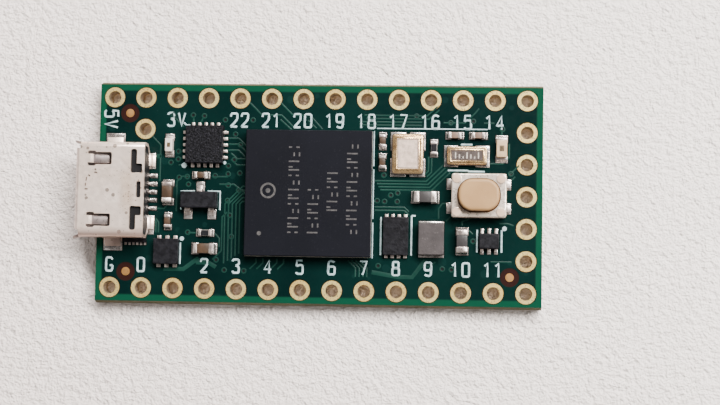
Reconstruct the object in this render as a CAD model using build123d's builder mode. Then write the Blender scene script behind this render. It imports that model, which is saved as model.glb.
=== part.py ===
"""Microcontroller dev board: every part in millimetres, +Z up, +X away from the USB socket.

The origin is the centre of the board on its underside, so the board lies on z = 0.
"""

import os

from build123d import *

os.makedirs("parts", exist_ok=True)

# ---------------------------------------------------------------- driving dimensions
PITCH = 2.54  # hole grid, 0.1 inch
BOARD_LEFT = -17.66
BOARD_RIGHT = 17.76
BOARD_HALF_WIDTH = 8.67  # on both faces; the scored long edges stand out further
SCORE_DEPTH = 0.5  # of the V groove along which the long edges were broken out
SCORE_REACH = 0.2
BOARD_TOP = 1.6
FOIL = 0.03  # thickness of the mask and of the lands level with it

HOLE_RADIUS = 0.508
BARREL_WALL = 0.03
RING_RADIUS = 0.80
RING_CLEARANCE = 0.06  # bare laminate between a ring or land and the mask
ROW_Y = 3 * PITCH
COLUMN_X = 6.5 * PITCH
EXTRA_HOLE = (-5.5 * PITCH, 2 * PITCH)

DOT_RADIUS = 0.38
DOT_OPENING_RADIUS = 0.75
DOT_PLACES = [(-6 * PITCH, 2.5 * PITCH), (-6 * PITCH, -2.5 * PITCH), (6 * PITCH, -2.5 * PITCH)]

MCU_PLACE = (-0.66, 0.0)
MCU_SIDE = 10.0
MCU_BALLS = 14
MCU_BALL_PITCH = 0.65

HELPER_PLACE = (-9.06, 3.83)
REGULATOR_PLACE = (-11.93, -4.72)
POWER_SWITCH_PLACE = (-9.38, -0.60)
FLASH_PLACE = (6.26, -3.24)
LOGIC_PLACE = (13.60, -3.54)
GUARD_PLACE = (-14.50, -3.68)

MAIN_CRYSTAL_PLACE = (7.12, 3.26)
CLOCK_CRYSTAL_PLACE = (11.78, 3.17)
INDUCTOR_PLACE = (9.06, -3.44)
BUTTON_PLACE = (12.75, 0.0)

# a chip part: length, width, height, length of each end cap
SMALL_CHIP = (1.0, 0.5, 0.5, 0.24)
MEDIUM_CHIP = (1.6, 0.8, 0.8, 0.34)
BEAD_CHIP = (1.75, 0.88, 0.8, 0.42)
RESISTOR_CHIP = (1.0, 0.5, 0.33, 0.2)

# chip parts: x, y, size, and whether the part's length lies along Y
CAPACITORS = [
    (-11.97, 0.00, MEDIUM_CHIP, True),
    (-8.96, -4.45, MEDIUM_CHIP, False),
    (-9.36, 1.40, SMALL_CHIP, False),
    (-11.93, -2.30, SMALL_CHIP, True),
    (5.11, 4.30, SMALL_CHIP, True),
    (5.11, 2.62, SMALL_CHIP, True),
    (10.80, 4.80, SMALL_CHIP, False),
    (12.66, 4.80, SMALL_CHIP, False),
]
BEADS = [(8.54, -0.13, BEAD_CHIP, False), (11.48, -3.56, BEAD_CHIP, True)]
RESISTORS = [(-8.92, -3.20, RESISTOR_CHIP, False), (9.18, 3.78, RESISTOR_CHIP, True)]

# LEDs stand with their length along Y: x, y, length, width
LEDS = [(-11.95, 3.76, 1.45, 0.62), (14.51, 3.77, 1.75, 0.85)]


# ---------------------------------------------------------------- shared shapes
def plate(places, length, width, bottom, height, corner=0.0):
    """Flat blocks of one size at the given places, added to the part being built."""
    with BuildSketch(Plane.XY.offset(bottom)) as outline:
        with Locations(*places):
            if corner > 0:
                RectangleRounded(length, width, corner)
            else:
                Rectangle(length, width)
    return extrude(outline.sketch, amount=height)


def cavity(place, length, width, bottom, height):
    """A closed box-shaped hollow inside the part being built."""
    with BuildSketch(Plane.XY.offset(bottom)) as outline:
        with Locations(place):
            Rectangle(length, width)
    return extrude(outline.sketch, amount=height, mode=Mode.SUBTRACT)


def turned(upright, length, width):
    """A rectangle's X and Y sizes when its length lies along X or along Y."""
    return (width, length) if upright else (length, width)


def shifted(x, y, upright, along, across=0.0):
    """The point reached from (x, y) by moving along and across a part's length."""
    return (x - across, y + along) if upright else (x + along, y + across)


def row(centre, pitch, count):
    """Evenly spaced values about a centre."""
    return [centre + pitch * (i - (count - 1) / 2) for i in range(count)]


def write(part, name):
    """Label a finished part and write its STEP file."""
    part.label = name
    export_step(part, f"parts/{name}.step")


# ---------------------------------------------------------------- holes and lands
hole_places = [(x, side * ROW_Y) for x in row(0, PITCH, 14) for side in (-1, 1)]
hole_places += [(COLUMN_X, y) for y in row(0, PITCH, 5)]
hole_places.append(EXTRA_HOLE)

lands = []  # x, y, size along X, size along Y


def add_land(x, y, size_x, size_y):
    lands.append((x, y, size_x, size_y))


def add_chip_part_lands(x, y, size, upright):
    """Two lands, one under each end cap and reaching a little beyond it."""
    length, width, _, cap = size
    reach = 0.22
    for end in (-1, 1):
        along = end * (length - cap + reach) / 2
        centre = shifted(x, y, upright, along)
        add_land(*centre, *turned(upright, cap + reach, width + 0.1))


for chip_part in CAPACITORS + BEADS + RESISTORS:
    add_chip_part_lands(*chip_part)
for led_x, led_y, led_length, led_width in LEDS:
    add_chip_part_lands(led_x, led_y, (led_length, led_width, 0.5, 0.35), True)


def four_sided_leads(place, count, pitch, reach, length):
    """Lead centres and sizes for a square chip: x, y, size along X, size along Y."""
    lead_width = 0.24
    leads = []
    for step in row(0, pitch, count):
        for side in (-1, 1):
            leads.append((place[0] + side * reach, place[1] + step, length, lead_width))
            leads.append((place[0] + step, place[1] + side * reach, lead_width, length))
    return leads


def two_sided_leads(place, count, pitch, reach, length, lead_width):
    """Lead centres and sizes for a chip with leads on its -Y and +Y sides."""
    return [
        (place[0] + step, place[1] + side * reach, lead_width, length)
        for step in row(0, pitch, count)
        for side in (-1, 1)
    ]


helper_leads = four_sided_leads(HELPER_PLACE, 5, 0.5, 1.5, 0.6)
regulator_leads = two_sided_leads(REGULATOR_PLACE, 3, 0.65, 1.03, 0.46, 0.3)
flash_leads = two_sided_leads(FLASH_PLACE, 4, 0.5, 1.5, 0.46, 0.26)
logic_leads = two_sided_leads(LOGIC_PLACE, 3, 0.55, 0.82, 0.42, 0.28)
guard_leads = two_sided_leads(GUARD_PLACE, 6, 0.31, 0.42, 0.28, 0.17)
power_switch_feet = [(-0.95, -1), (0.95, -1), (0.0, 1)]  # x from the centre, side of the body

for chip_lead in helper_leads + regulator_leads + flash_leads + logic_leads + guard_leads:
    add_land(*chip_lead)
for foot_x, foot_side in power_switch_feet:
    add_land(POWER_SWITCH_PLACE[0] + foot_x, POWER_SWITCH_PLACE[1] + foot_side * 1.1, 0.66, 0.8)

USB_FOOT_X = -16.33
USB_FOOT_Y = 4.1
USB_REAR_X = -13.36
USB_REAR_Y = 2.5
USB_CONTACT_X = -13.2
USB_CONTACT_PITCH = 0.65
for usb_side in (-1, 1):
    add_land(USB_FOOT_X, usb_side * USB_FOOT_Y, 1.5, 1.2)
    add_land(USB_REAR_X, usb_side * USB_REAR_Y, 0.62, 1.25)
usb_contact_ys = row(0, USB_CONTACT_PITCH, 5)
for contact_y in usb_contact_ys:
    add_land(USB_CONTACT_X, contact_y, 0.62, 0.34)

for land_x, land_y in [(-1, -1), (-1, 1), (1, -1), (1, 1)]:
    add_land(MAIN_CRYSTAL_PLACE[0] + 0.76 * land_x, MAIN_CRYSTAL_PLACE[1] + 1.04 * land_y, 1.22, 1.46)
for end in (-1, 1):
    add_land(CLOCK_CRYSTAL_PLACE[0] + end * 1.24, CLOCK_CRYSTAL_PLACE[1], 1.1, 1.7)
    add_land(INDUCTOR_PLACE[0], INDUCTOR_PLACE[1] + end * 1.02, 2.0, 0.82)

BUTTON_LEG_Y = 0.95
button_legs = [(x_side, y_side) for x_side in (-1, 1) for y_side in (-1, 1)]
for x_side, y_side in button_legs:
    add_land(BUTTON_PLACE[0] + x_side * 2.3, y_side * BUTTON_LEG_Y, 0.46, 0.87)

# ---------------------------------------------------------------- the bare board
def board_face():
    """The outline of both faces of the board."""
    with Locations(((BOARD_LEFT + BOARD_RIGHT) / 2, 0)):
        Rectangle(BOARD_RIGHT - BOARD_LEFT, 2 * BOARD_HALF_WIDTH)


with BuildPart() as board_laminate:
    with BuildSketch(Plane.YZ.offset(BOARD_LEFT)):
        with BuildLine():
            Polyline(
                (BOARD_HALF_WIDTH, FOIL),
                (BOARD_HALF_WIDTH + SCORE_REACH, FOIL + SCORE_DEPTH),
                (BOARD_HALF_WIDTH + SCORE_REACH, BOARD_TOP - FOIL - SCORE_DEPTH),
                (BOARD_HALF_WIDTH, BOARD_TOP - FOIL),
                (0, BOARD_TOP - FOIL),
                (0, FOIL),
                close=True,
            )
        make_face()
        mirror(about=Plane.YZ)
    extrude(amount=BOARD_RIGHT - BOARD_LEFT)
    with BuildSketch(Plane.XY):
        with Locations(*hole_places):
            Circle(HOLE_RADIUS + BARREL_WALL)
    extrude(amount=BOARD_TOP, mode=Mode.SUBTRACT)

with BuildPart() as solder_mask_top:
    with BuildSketch(Plane.XY.offset(BOARD_TOP - FOIL)):
        board_face()
        with Locations(*hole_places):
            Circle(RING_RADIUS + RING_CLEARANCE, mode=Mode.SUBTRACT)
        with Locations(*DOT_PLACES):
            Circle(DOT_OPENING_RADIUS, mode=Mode.SUBTRACT)
        for x, y, size_x, size_y in lands:
            with Locations((x, y)):
                Rectangle(size_x + RING_CLEARANCE, size_y + RING_CLEARANCE, mode=Mode.SUBTRACT)
    extrude(amount=FOIL)

with BuildPart() as solder_mask_bottom:
    with BuildSketch(Plane.XY):
        board_face()
        with Locations(*hole_places):
            Circle(RING_RADIUS + RING_CLEARANCE, mode=Mode.SUBTRACT)
    extrude(amount=FOIL)

with BuildPart() as barrel_plating:
    with BuildSketch(Plane.XY):
        with Locations(*hole_places):
            Circle(HOLE_RADIUS + BARREL_WALL)
    extrude(amount=BOARD_TOP)
    for ring_bottom in (0, BOARD_TOP - FOIL):
        with BuildSketch(Plane.XY.offset(ring_bottom)):
            with Locations(*hole_places):
                Circle(RING_RADIUS)
        extrude(amount=FOIL)
    with BuildSketch(Plane.XY):
        with Locations(*hole_places):
            Circle(HOLE_RADIUS)
    extrude(amount=BOARD_TOP, mode=Mode.SUBTRACT)

with BuildPart() as fiducial_dots:
    with BuildSketch(Plane.XY.offset(BOARD_TOP - FOIL)):
        with Locations(*DOT_PLACES):
            Circle(DOT_RADIUS)
    extrude(amount=FOIL)

with BuildPart() as solder_pads:
    with BuildSketch(Plane.XY.offset(BOARD_TOP - FOIL)):
        for x, y, size_x, size_y in lands:
            with Locations((x, y)):
                Rectangle(size_x, size_y)
    extrude(amount=FOIL)

for board_part, board_name in [
    (board_laminate, "board_laminate"),
    (solder_mask_top, "solder_mask_top"),
    (solder_mask_bottom, "solder_mask_bottom"),
    (barrel_plating, "barrel_plating"),
    (fiducial_dots, "fiducial_dots"),
    (solder_pads, "solder_pads"),
]:
    write(board_part.part, board_name)

# ---------------------------------------------------------------- USB socket
USB_FRONT = -18.55
USB_REAR = -13.45
USB_HALF_WIDTH = 3.75
USB_HALF_BASE = 2.75
USB_HEIGHT = 2.6
USB_WALL = 0.25
USB_KNEE = 1.15  # height at which the slanted flanks meet the upright sides
USB_LIP_FRONT = -19.25
USB_TONGUE_HALF_WIDTH = 1.85
USB_BLOCK_LENGTH = 1.7


def usb_outline(inset):
    """Half-round-shouldered mouth section, drawn looking along the socket."""
    low = BOARD_TOP + inset
    knee = BOARD_TOP + USB_KNEE
    high = BOARD_TOP + USB_HEIGHT - inset
    half = USB_HALF_WIDTH - inset
    base = USB_HALF_BASE - inset * 0.6
    with BuildLine() as edge:
        Polyline(
            (-base, low), (base, low), (half, knee), (half, high), (-half, high), (-half, knee), close=True
        )
    make_face(edge.edges())
    fillet(vertices(), 0.45 - inset)


with BuildPart() as usb_shell:
    with BuildSketch(Plane.YZ.offset(USB_FRONT)):
        usb_outline(0.0)
    extrude(amount=USB_REAR - USB_FRONT)
    with BuildSketch(Plane.YZ.offset(USB_FRONT)):
        usb_outline(USB_WALL)
    extrude(amount=USB_REAR - USB_FRONT, mode=Mode.SUBTRACT)
    # the rear edge is open below the block, where the contacts drop to their lands
    with BuildSketch(Plane.XY.offset(BOARD_TOP)):
        with Locations((USB_REAR, 0)):
            Rectangle(0.8, 2 * USB_TONGUE_HALF_WIDTH)
    extrude(amount=0.6, mode=Mode.SUBTRACT)
    # latch windows, each wider at its front end
    for side in (-1, 1):
        with BuildSketch(Plane.XY.offset(BOARD_TOP + USB_HEIGHT / 2)):
            with Locations((-16.98, side * 2.42)):
                RectangleRounded(1.9, 0.98, 0.14)
            with Locations((-17.62, side * 2.42)):
                RectangleRounded(0.66, 1.2, 0.14)
        extrude(amount=USB_HEIGHT, mode=Mode.SUBTRACT)
    # hooked slots and the middle window near the rear edge
    for side in (-1, 1):
        with BuildSketch(Plane.XY.offset(BOARD_TOP + USB_HEIGHT / 2)):
            with Locations((-14.28, side * 2.24)):
                RectangleRounded(0.5, 1.88, 0.18)
            with Locations((-13.98, side * 1.68)):
                RectangleRounded(0.76, 0.72, 0.14)
        extrude(amount=USB_HEIGHT, mode=Mode.SUBTRACT)
    with BuildSketch(Plane.XY.offset(BOARD_TOP + USB_HEIGHT / 2)):
        with Locations((-13.86, 0)):
            RectangleRounded(0.36, 1.28, 0.12)
    extrude(amount=USB_HEIGHT, mode=Mode.SUBTRACT)
    # latch springs: strips that start at the windows' front edge and dip into the mouth
    for side in (-1, 1):
        with BuildSketch(Plane.XZ.offset(-side * 2.42)):
            with BuildLine():
                spring_top = BOARD_TOP + USB_HEIGHT
                Polyline(
                    (-18.0, spring_top),
                    (-17.72, spring_top),
                    (-17.42, spring_top - 0.34),
                    (-16.32, spring_top - 0.46),
                    (-16.32, spring_top - 0.60),
                    (-17.5, spring_top - 0.48),
                    (-17.8, spring_top - 0.2),
                    (-18.0, spring_top - 0.2),
                    close=True,
                )
            make_face()
        extrude(amount=0.34, both=True)
    # flared lips round the mouth: bottom, top and both sides
    with BuildSketch(Plane.XZ):
        with BuildLine():
            Polyline(
                (USB_FRONT, BOARD_TOP),
                (USB_FRONT, BOARD_TOP + USB_WALL),
                (USB_LIP_FRONT, BOARD_TOP - 0.2),
                (USB_LIP_FRONT - 0.08, BOARD_TOP - 0.38),
                close=True,
            )
        make_face()
    extrude(amount=USB_HALF_BASE - 0.15, both=True)
    with BuildSketch(Plane.XZ):
        with BuildLine():
            Polyline(
                (USB_FRONT, BOARD_TOP + USB_HEIGHT),
                (USB_FRONT, BOARD_TOP + USB_HEIGHT - USB_WALL),
                (USB_FRONT - 0.22, BOARD_TOP + USB_HEIGHT - 0.12),
                (USB_FRONT - 0.26, BOARD_TOP + USB_HEIGHT + 0.08),
                close=True,
            )
        make_face()
    extrude(amount=USB_HALF_WIDTH - 0.55, both=True)
    for side in (-1, 1):
        with BuildSketch(Plane.XY.offset(BOARD_TOP + USB_KNEE + 0.15)):
            with BuildLine():
                Polyline(
                    (USB_FRONT, side * USB_HALF_WIDTH),
                    (USB_FRONT, side * (USB_HALF_WIDTH - USB_WALL)),
                    (USB_FRONT - 0.5, side * (USB_HALF_WIDTH - 0.05)),
                    (USB_FRONT - 0.55, side * (USB_HALF_WIDTH + 0.14)),
                    close=True,
                )
            make_face()
        extrude(amount=0.75)
    # side feet: strips bent out of the sides and down on to their lands
    for side in (-1, 1):
        with BuildSketch(Plane.YZ.offset(USB_FOOT_X)):
            with BuildLine():
                Polyline(
                    (side * (USB_HALF_WIDTH - USB_WALL), BOARD_TOP + 1.5),
                    (side * USB_HALF_WIDTH, BOARD_TOP + 1.5),
                    (side * (USB_HALF_WIDTH + 0.02), BOARD_TOP + 0.22),
                    (side * (USB_HALF_WIDTH + 0.6), BOARD_TOP + 0.2),
                    (side * (USB_HALF_WIDTH + 0.6), BOARD_TOP),
                    (side * (USB_HALF_WIDTH - 0.2), BOARD_TOP),
                    (side * (USB_HALF_WIDTH - 0.22), BOARD_TOP + 1.0),
                    close=True,
                )
            make_face()
        extrude(amount=0.62, both=True)
    # rear feet: strips bent down from the rear edge
    for side in (-1, 1):
        with BuildSketch(Plane.XZ.offset(-side * USB_REAR_Y)):
            with BuildLine():
                Polyline(
                    (USB_REAR - 0.02, BOARD_TOP),
                    (USB_REAR - 0.02, BOARD_TOP + 0.62),
                    (USB_REAR + 0.16, BOARD_TOP + 0.5),
                    (USB_REAR + 0.2, BOARD_TOP + 0.18),
                    (USB_REAR + 0.4, BOARD_TOP + 0.14),
                    (USB_REAR + 0.4, BOARD_TOP),
                    close=True,
                )
            make_face()
        extrude(amount=0.45, both=True)

USB_TONGUE_BOTTOM = BOARD_TOP + 1.15
USB_TONGUE_THICKNESS = 0.62
USB_CONTACT_THICKNESS = 0.12


def usb_contact_outline():
    """A contact seen from the side: under the tongue, back through the block, down to its land."""
    high = USB_TONGUE_BOTTOM
    low = high - USB_CONTACT_THICKNESS
    tail_top = BOARD_TOP + USB_CONTACT_THICKNESS
    drop = USB_REAR + 0.02
    with BuildLine() as edge:
        Polyline(
            (USB_FRONT + 0.75, high),
            (drop, high),
            (drop, tail_top),
            (USB_CONTACT_X + 0.22, tail_top),
            (USB_CONTACT_X + 0.22, BOARD_TOP),
            (drop - USB_CONTACT_THICKNESS, BOARD_TOP),
            (drop - USB_CONTACT_THICKNESS, low),
            (USB_FRONT + 0.75, low),
            close=True,
        )
    make_face(edge.edges())


with BuildPart() as usb_contacts:
    for contact_y in usb_contact_ys:
        with BuildSketch(Plane.XZ.offset(-contact_y)):
            usb_contact_outline()
        extrude(amount=0.13, both=True)

with BuildPart() as usb_insulator:
    with BuildSketch(Plane.YZ.offset(USB_REAR - USB_BLOCK_LENGTH)):
        usb_outline(USB_WALL)
    extrude(amount=USB_BLOCK_LENGTH - 0.03)
    plate(
        [((USB_FRONT + 0.55 + USB_REAR - 0.5) / 2, 0)],
        USB_REAR - USB_FRONT - 1.05,
        2 * USB_TONGUE_HALF_WIDTH,
        USB_TONGUE_BOTTOM,
        USB_TONGUE_THICKNESS,
    )
    add(usb_contacts.part, mode=Mode.SUBTRACT)

write(usb_shell.part, "usb_shell")
write(usb_contacts.part, "usb_contacts")
write(usb_insulator.part, "usb_insulator")

# ---------------------------------------------------------------- microcontroller
BALL_HEIGHT = 0.3
BALL_RADIUS = 0.21
SUBSTRATE = 0.28
CAP_HEIGHT = 0.72
DIE_SIDE = 5.2
DIE_HEIGHT = 0.3
ball_places = [
    (x, y)
    for x in row(MCU_PLACE[0], MCU_BALL_PITCH, MCU_BALLS)
    for y in row(MCU_PLACE[1], MCU_BALL_PITCH, MCU_BALLS)
]

with BuildPart() as mcu_solder_balls:
    with Locations(*[(x, y, BOARD_TOP + BALL_HEIGHT / 2) for x, y in ball_places]):
        Cylinder(BALL_RADIUS, BALL_HEIGHT)

substrate_bottom = BOARD_TOP + BALL_HEIGHT
cap_bottom = substrate_bottom + SUBSTRATE
with BuildPart() as mcu_substrate:
    plate([MCU_PLACE], MCU_SIDE, MCU_SIDE, substrate_bottom, SUBSTRATE)

with BuildPart() as mcu_mould_cap:
    plate([MCU_PLACE], MCU_SIDE - 0.04, MCU_SIDE - 0.04, cap_bottom, CAP_HEIGHT)
    chamfer(mcu_mould_cap.faces().sort_by(Axis.Z)[-1].edges(), 0.04)
    cavity(MCU_PLACE, DIE_SIDE, DIE_SIDE, cap_bottom, DIE_HEIGHT)

with BuildPart() as mcu_die:
    plate([MCU_PLACE], DIE_SIDE, DIE_SIDE, cap_bottom, DIE_HEIGHT)

write(mcu_solder_balls.part, "mcu_solder_balls")
write(mcu_substrate.part, "mcu_substrate")
write(mcu_mould_cap.part, "mcu_mould_cap")
write(mcu_die.part, "mcu_die")

# ---------------------------------------------------------------- leadless and legged chips
LEAD_THICKNESS = 0.2
SMALL_DIE_HEIGHT = 0.15
die_places = []  # centre, side, bottom


def leadless_chip(place, size_x, size_y, height, leads, die_side):
    """A moulded body on flat leads: returns the body and the leads."""
    with BuildPart() as chip_leads:
        for x, y, lead_x, lead_y in leads:
            plate([(x, y)], lead_x, lead_y, BOARD_TOP, LEAD_THICKNESS)
        plate([place], size_x - 1.2, size_y - 1.2, BOARD_TOP, LEAD_THICKNESS)
    die_bottom = BOARD_TOP + LEAD_THICKNESS + 0.05
    with BuildPart() as chip_body:
        plate([place], size_x, size_y, BOARD_TOP + 0.02, height - 0.02)
        chamfer(chip_body.faces().sort_by(Axis.Z)[-1].edges(), 0.03)
        cavity(place, die_side, die_side, die_bottom, SMALL_DIE_HEIGHT)
        add(chip_leads.part, mode=Mode.SUBTRACT)
    die_places.append((place, die_side, die_bottom))
    return chip_body.part, chip_leads.part


helper_body_part, helper_leads_part = leadless_chip(HELPER_PLACE, 3.0, 3.0, 0.85, helper_leads, 1.5)
write(helper_body_part, "helper_chip_body")
write(helper_leads_part, "helper_chip_leads")

regulator_body_part, regulator_pads_part = leadless_chip(
    REGULATOR_PLACE, 2.0, 2.0, 0.75, regulator_leads, 0.9
)
write(regulator_body_part, "regulator_body")
write(regulator_pads_part, "regulator_pads")

flash_body_part, flash_pads_part = leadless_chip(FLASH_PLACE, 2.0, 3.0, 0.6, flash_leads, 1.0)
write(flash_body_part, "flash_chip_body")
write(flash_pads_part, "flash_chip_pads")

with BuildPart() as guard_chip_pads:
    for x, y, lead_x, lead_y in guard_leads:
        plate([(x, y)], lead_x, lead_y, BOARD_TOP, 0.12)
with BuildPart() as guard_chip_body:
    plate([GUARD_PLACE], 1.75, 0.72, BOARD_TOP + 0.02, 0.42)
    add(guard_chip_pads.part, mode=Mode.SUBTRACT)
write(guard_chip_pads.part, "guard_chip_pads")
write(guard_chip_body.part, "guard_chip_body")


def bent_leg(place, side, leg_width, body_half, lead_height, foot_end):
    """A leg that leaves a body's side, drops to the board and ends in a flat foot."""
    thickness = 0.12
    x, y = place
    top = BOARD_TOP + lead_height
    root = body_half - 0.25
    knee = body_half + 0.12
    with BuildSketch(Plane.YZ.offset(x)) as outline:
        with BuildLine():
            Polyline(
                (y + side * root, top),
                (y + side * (knee + thickness), top),
                (y + side * (knee + thickness + 0.04), BOARD_TOP + thickness),
                (y + side * foot_end, BOARD_TOP + thickness),
                (y + side * foot_end, BOARD_TOP),
                (y + side * (knee + 0.02), BOARD_TOP),
                (y + side * knee, top - thickness),
                (y + side * root, top - thickness),
                close=True,
            )
        make_face()
    extrude(outline.sketch, amount=leg_width / 2, both=True)


def legged_chip(place, size_x, size_y, height, legs, leg_width, foot_end, die_side):
    """A moulded body held above the board on bent legs: returns the body and the legs."""
    lead_height = height * 0.55
    die_bottom = BOARD_TOP + height - 0.3
    with BuildPart() as chip_legs:
        for x, side in legs:
            bent_leg((place[0] + x, place[1]), side, leg_width, size_y / 2, lead_height, foot_end)
    with BuildPart() as chip_body:
        plate([place], size_x, size_y, BOARD_TOP + 0.08, height - 0.08)
        chamfer(chip_body.faces().sort_by(Axis.Z)[-1].edges(), 0.06)
        cavity(place, die_side, die_side, die_bottom, SMALL_DIE_HEIGHT)
        add(chip_legs.part, mode=Mode.SUBTRACT)
    die_places.append((place, die_side, die_bottom))
    return chip_body.part, chip_legs.part


power_body_part, power_leads_part = legged_chip(
    POWER_SWITCH_PLACE, 2.9, 1.3, 1.0, power_switch_feet, 0.42, 1.2, 0.6
)
write(power_body_part, "power_switch_body")
write(power_leads_part, "power_switch_leads")

logic_legs = [(x, side) for x in row(0, 0.55, 3) for side in (-1, 1)]
logic_body_part, logic_leads_part = legged_chip(LOGIC_PLACE, 1.6, 1.2, 0.62, logic_legs, 0.22, 1.0, 0.5)
write(logic_body_part, "logic_chip_body")
write(logic_leads_part, "logic_chip_leads")

with BuildPart() as chip_dies:
    for die_place, die_side, die_bottom in die_places:
        plate([die_place], die_side, die_side, die_bottom, SMALL_DIE_HEIGHT)
write(chip_dies.part, "chip_dies")


# ---------------------------------------------------------------- crystals
def crystal(name, place, size_x, size_y, base_height, corner, lid_inset):
    """A ceramic tray with a quartz blank inside, a stepped gold seam ring and a metal lid."""
    wall = 0.2
    floor = 0.2
    rim_step = 0.05  # height of each of the seam ring's two steps
    outer_inset = 0.05
    inner_inset = lid_inset - 0.13
    lid_height = 0.09
    inner_x = size_x - 2 * wall
    inner_y = size_y - 2 * wall
    ring_bottom = BOARD_TOP + base_height
    ring_top = ring_bottom + 2 * rim_step
    mouth_x = size_x - 2 * lid_inset - 0.2
    mouth_y = size_y - 2 * lid_inset - 0.2
    with BuildPart() as base:
        plate([place], size_x, size_y, BOARD_TOP, base_height, corner)
        cavity(place, inner_x, inner_y, BOARD_TOP + floor, base_height)
    with BuildPart() as quartz:
        plate([place], inner_x - 0.3, inner_y - 0.3, BOARD_TOP + floor, 0.08)
    with BuildPart() as ring:
        for step, inset in enumerate((outer_inset, inner_inset)):
            step_bottom = ring_bottom + step * rim_step
            plate([place], size_x - 2 * inset, size_y - 2 * inset, step_bottom, rim_step, corner)
        cavity(place, mouth_x, mouth_y, ring_bottom, 2 * rim_step)
    with BuildPart() as lid:
        plate([place], size_x - 2 * lid_inset, size_y - 2 * lid_inset, ring_top, lid_height, corner)
        chamfer(lid.faces().sort_by(Axis.Z)[-1].edges(), 0.04)
    write(base.part, f"{name}_base")
    write(quartz.part, f"{name}_quartz")
    write(ring.part, f"{name}_ring")
    write(lid.part, f"{name}_lid")


crystal("main_crystal", MAIN_CRYSTAL_PLACE, 2.5, 3.2, 0.52, 0.22, 0.32)
crystal("clock_crystal", CLOCK_CRYSTAL_PLACE, 3.2, 1.5, 0.5, 0.16, 0.24)

# ---------------------------------------------------------------- inductor
INDUCTOR_X = 2.0
INDUCTOR_Y = 2.5
INDUCTOR_HEIGHT = 1.0
INDUCTOR_FOOT = 0.08
COIL_RADIUS = 0.62
COIL_WIRE = 0.2
inductor_core = (*INDUCTOR_PLACE, BOARD_TOP + 0.55)

with BuildPart() as inductor_coil:
    with Locations(inductor_core):
        Torus(COIL_RADIUS, COIL_WIRE)
with BuildPart() as inductor_terminals:
    foot_places = [(INDUCTOR_PLACE[0], INDUCTOR_PLACE[1] + end * 0.93) for end in (-1, 1)]
    plate(foot_places, INDUCTOR_X - 0.1, 0.6, BOARD_TOP, INDUCTOR_FOOT)
with BuildPart() as inductor_body:
    plate(
        [INDUCTOR_PLACE],
        INDUCTOR_X,
        INDUCTOR_Y,
        BOARD_TOP + INDUCTOR_FOOT,
        INDUCTOR_HEIGHT - INDUCTOR_FOOT,
        0.08,
    )
    chamfer(inductor_body.faces().sort_by(Axis.Z)[-1].edges(), 0.04)
    with Locations(inductor_core):
        Torus(COIL_RADIUS, COIL_WIRE, mode=Mode.SUBTRACT)
write(inductor_coil.part, "inductor_coil")
write(inductor_terminals.part, "inductor_terminals")
write(inductor_body.part, "inductor_body")


# ---------------------------------------------------------------- capacitors, beads, resistors
def chip_part_bodies(parts, height_share=1.0):
    """The blocks between the end caps of a list of chip parts."""
    for x, y, (length, width, height, cap), upright in parts:
        size_x, size_y = turned(upright, length - 2 * cap, width - 0.03)
        plate([(x, y)], size_x, size_y, BOARD_TOP + 0.02, (height - 0.04) * height_share)


def chip_part_ends(parts):
    """The two end caps of each chip part in a list, with a small radius on every standing edge."""
    for x, y, (length, width, height, cap), upright in parts:
        size_x, size_y = turned(upright, cap, width)
        places = [shifted(x, y, upright, end * (length - cap) / 2) for end in (-1, 1)]
        plate(places, size_x, size_y, BOARD_TOP, height, 0.05)


with BuildPart() as capacitor_bodies:
    chip_part_bodies(CAPACITORS)
with BuildPart() as capacitor_ends:
    chip_part_ends(CAPACITORS)
with BuildPart() as bead_bodies:
    chip_part_bodies(BEADS)
with BuildPart() as bead_ends:
    chip_part_ends(BEADS)
with BuildPart() as resistor_bodies:
    chip_part_bodies(RESISTORS, height_share=0.85)
with BuildPart() as resistor_films:
    for x, y, (length, width, height, cap), upright in RESISTORS:
        size_x, size_y = turned(upright, length - 2 * cap, width - 0.06)
        film_bottom = BOARD_TOP + 0.02 + (height - 0.04) * 0.85
        plate([(x, y)], size_x, size_y, film_bottom, 0.05)
with BuildPart() as resistor_ends:
    chip_part_ends(RESISTORS)

for chip_node, chip_name in [
    (capacitor_bodies, "capacitor_bodies"),
    (capacitor_ends, "capacitor_ends"),
    (bead_bodies, "bead_bodies"),
    (bead_ends, "bead_ends"),
    (resistor_bodies, "resistor_bodies"),
    (resistor_films, "resistor_films"),
    (resistor_ends, "resistor_ends"),
]:
    write(chip_node.part, chip_name)

# ---------------------------------------------------------------- LEDs
LED_BASE_HEIGHT = 0.25
LED_LENS_HEIGHT = 0.35
LED_END = 0.3

with BuildPart() as led_bases:
    for x, y, length, width in LEDS:
        plate([(x, y)], width, length - 2 * LED_END, BOARD_TOP, LED_BASE_HEIGHT)
with BuildPart() as led_ends:
    for x, y, length, width in LEDS:
        places = [(x, y + end * (length - LED_END) / 2) for end in (-1, 1)]
        plate(places, width, LED_END, BOARD_TOP, LED_BASE_HEIGHT)
with BuildPart() as led_lenses:
    for x, y, length, width in LEDS:
        plate([(x, y)], width, length - 1.3 * LED_END, BOARD_TOP + LED_BASE_HEIGHT, LED_LENS_HEIGHT)
    chamfer(led_lenses.faces().filter_by(Axis.Z).group_by(Axis.Z)[-1].edges(), 0.05)
write(led_bases.part, "led_bases")
write(led_ends.part, "led_ends")
write(led_lenses.part, "led_lenses")

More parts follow.
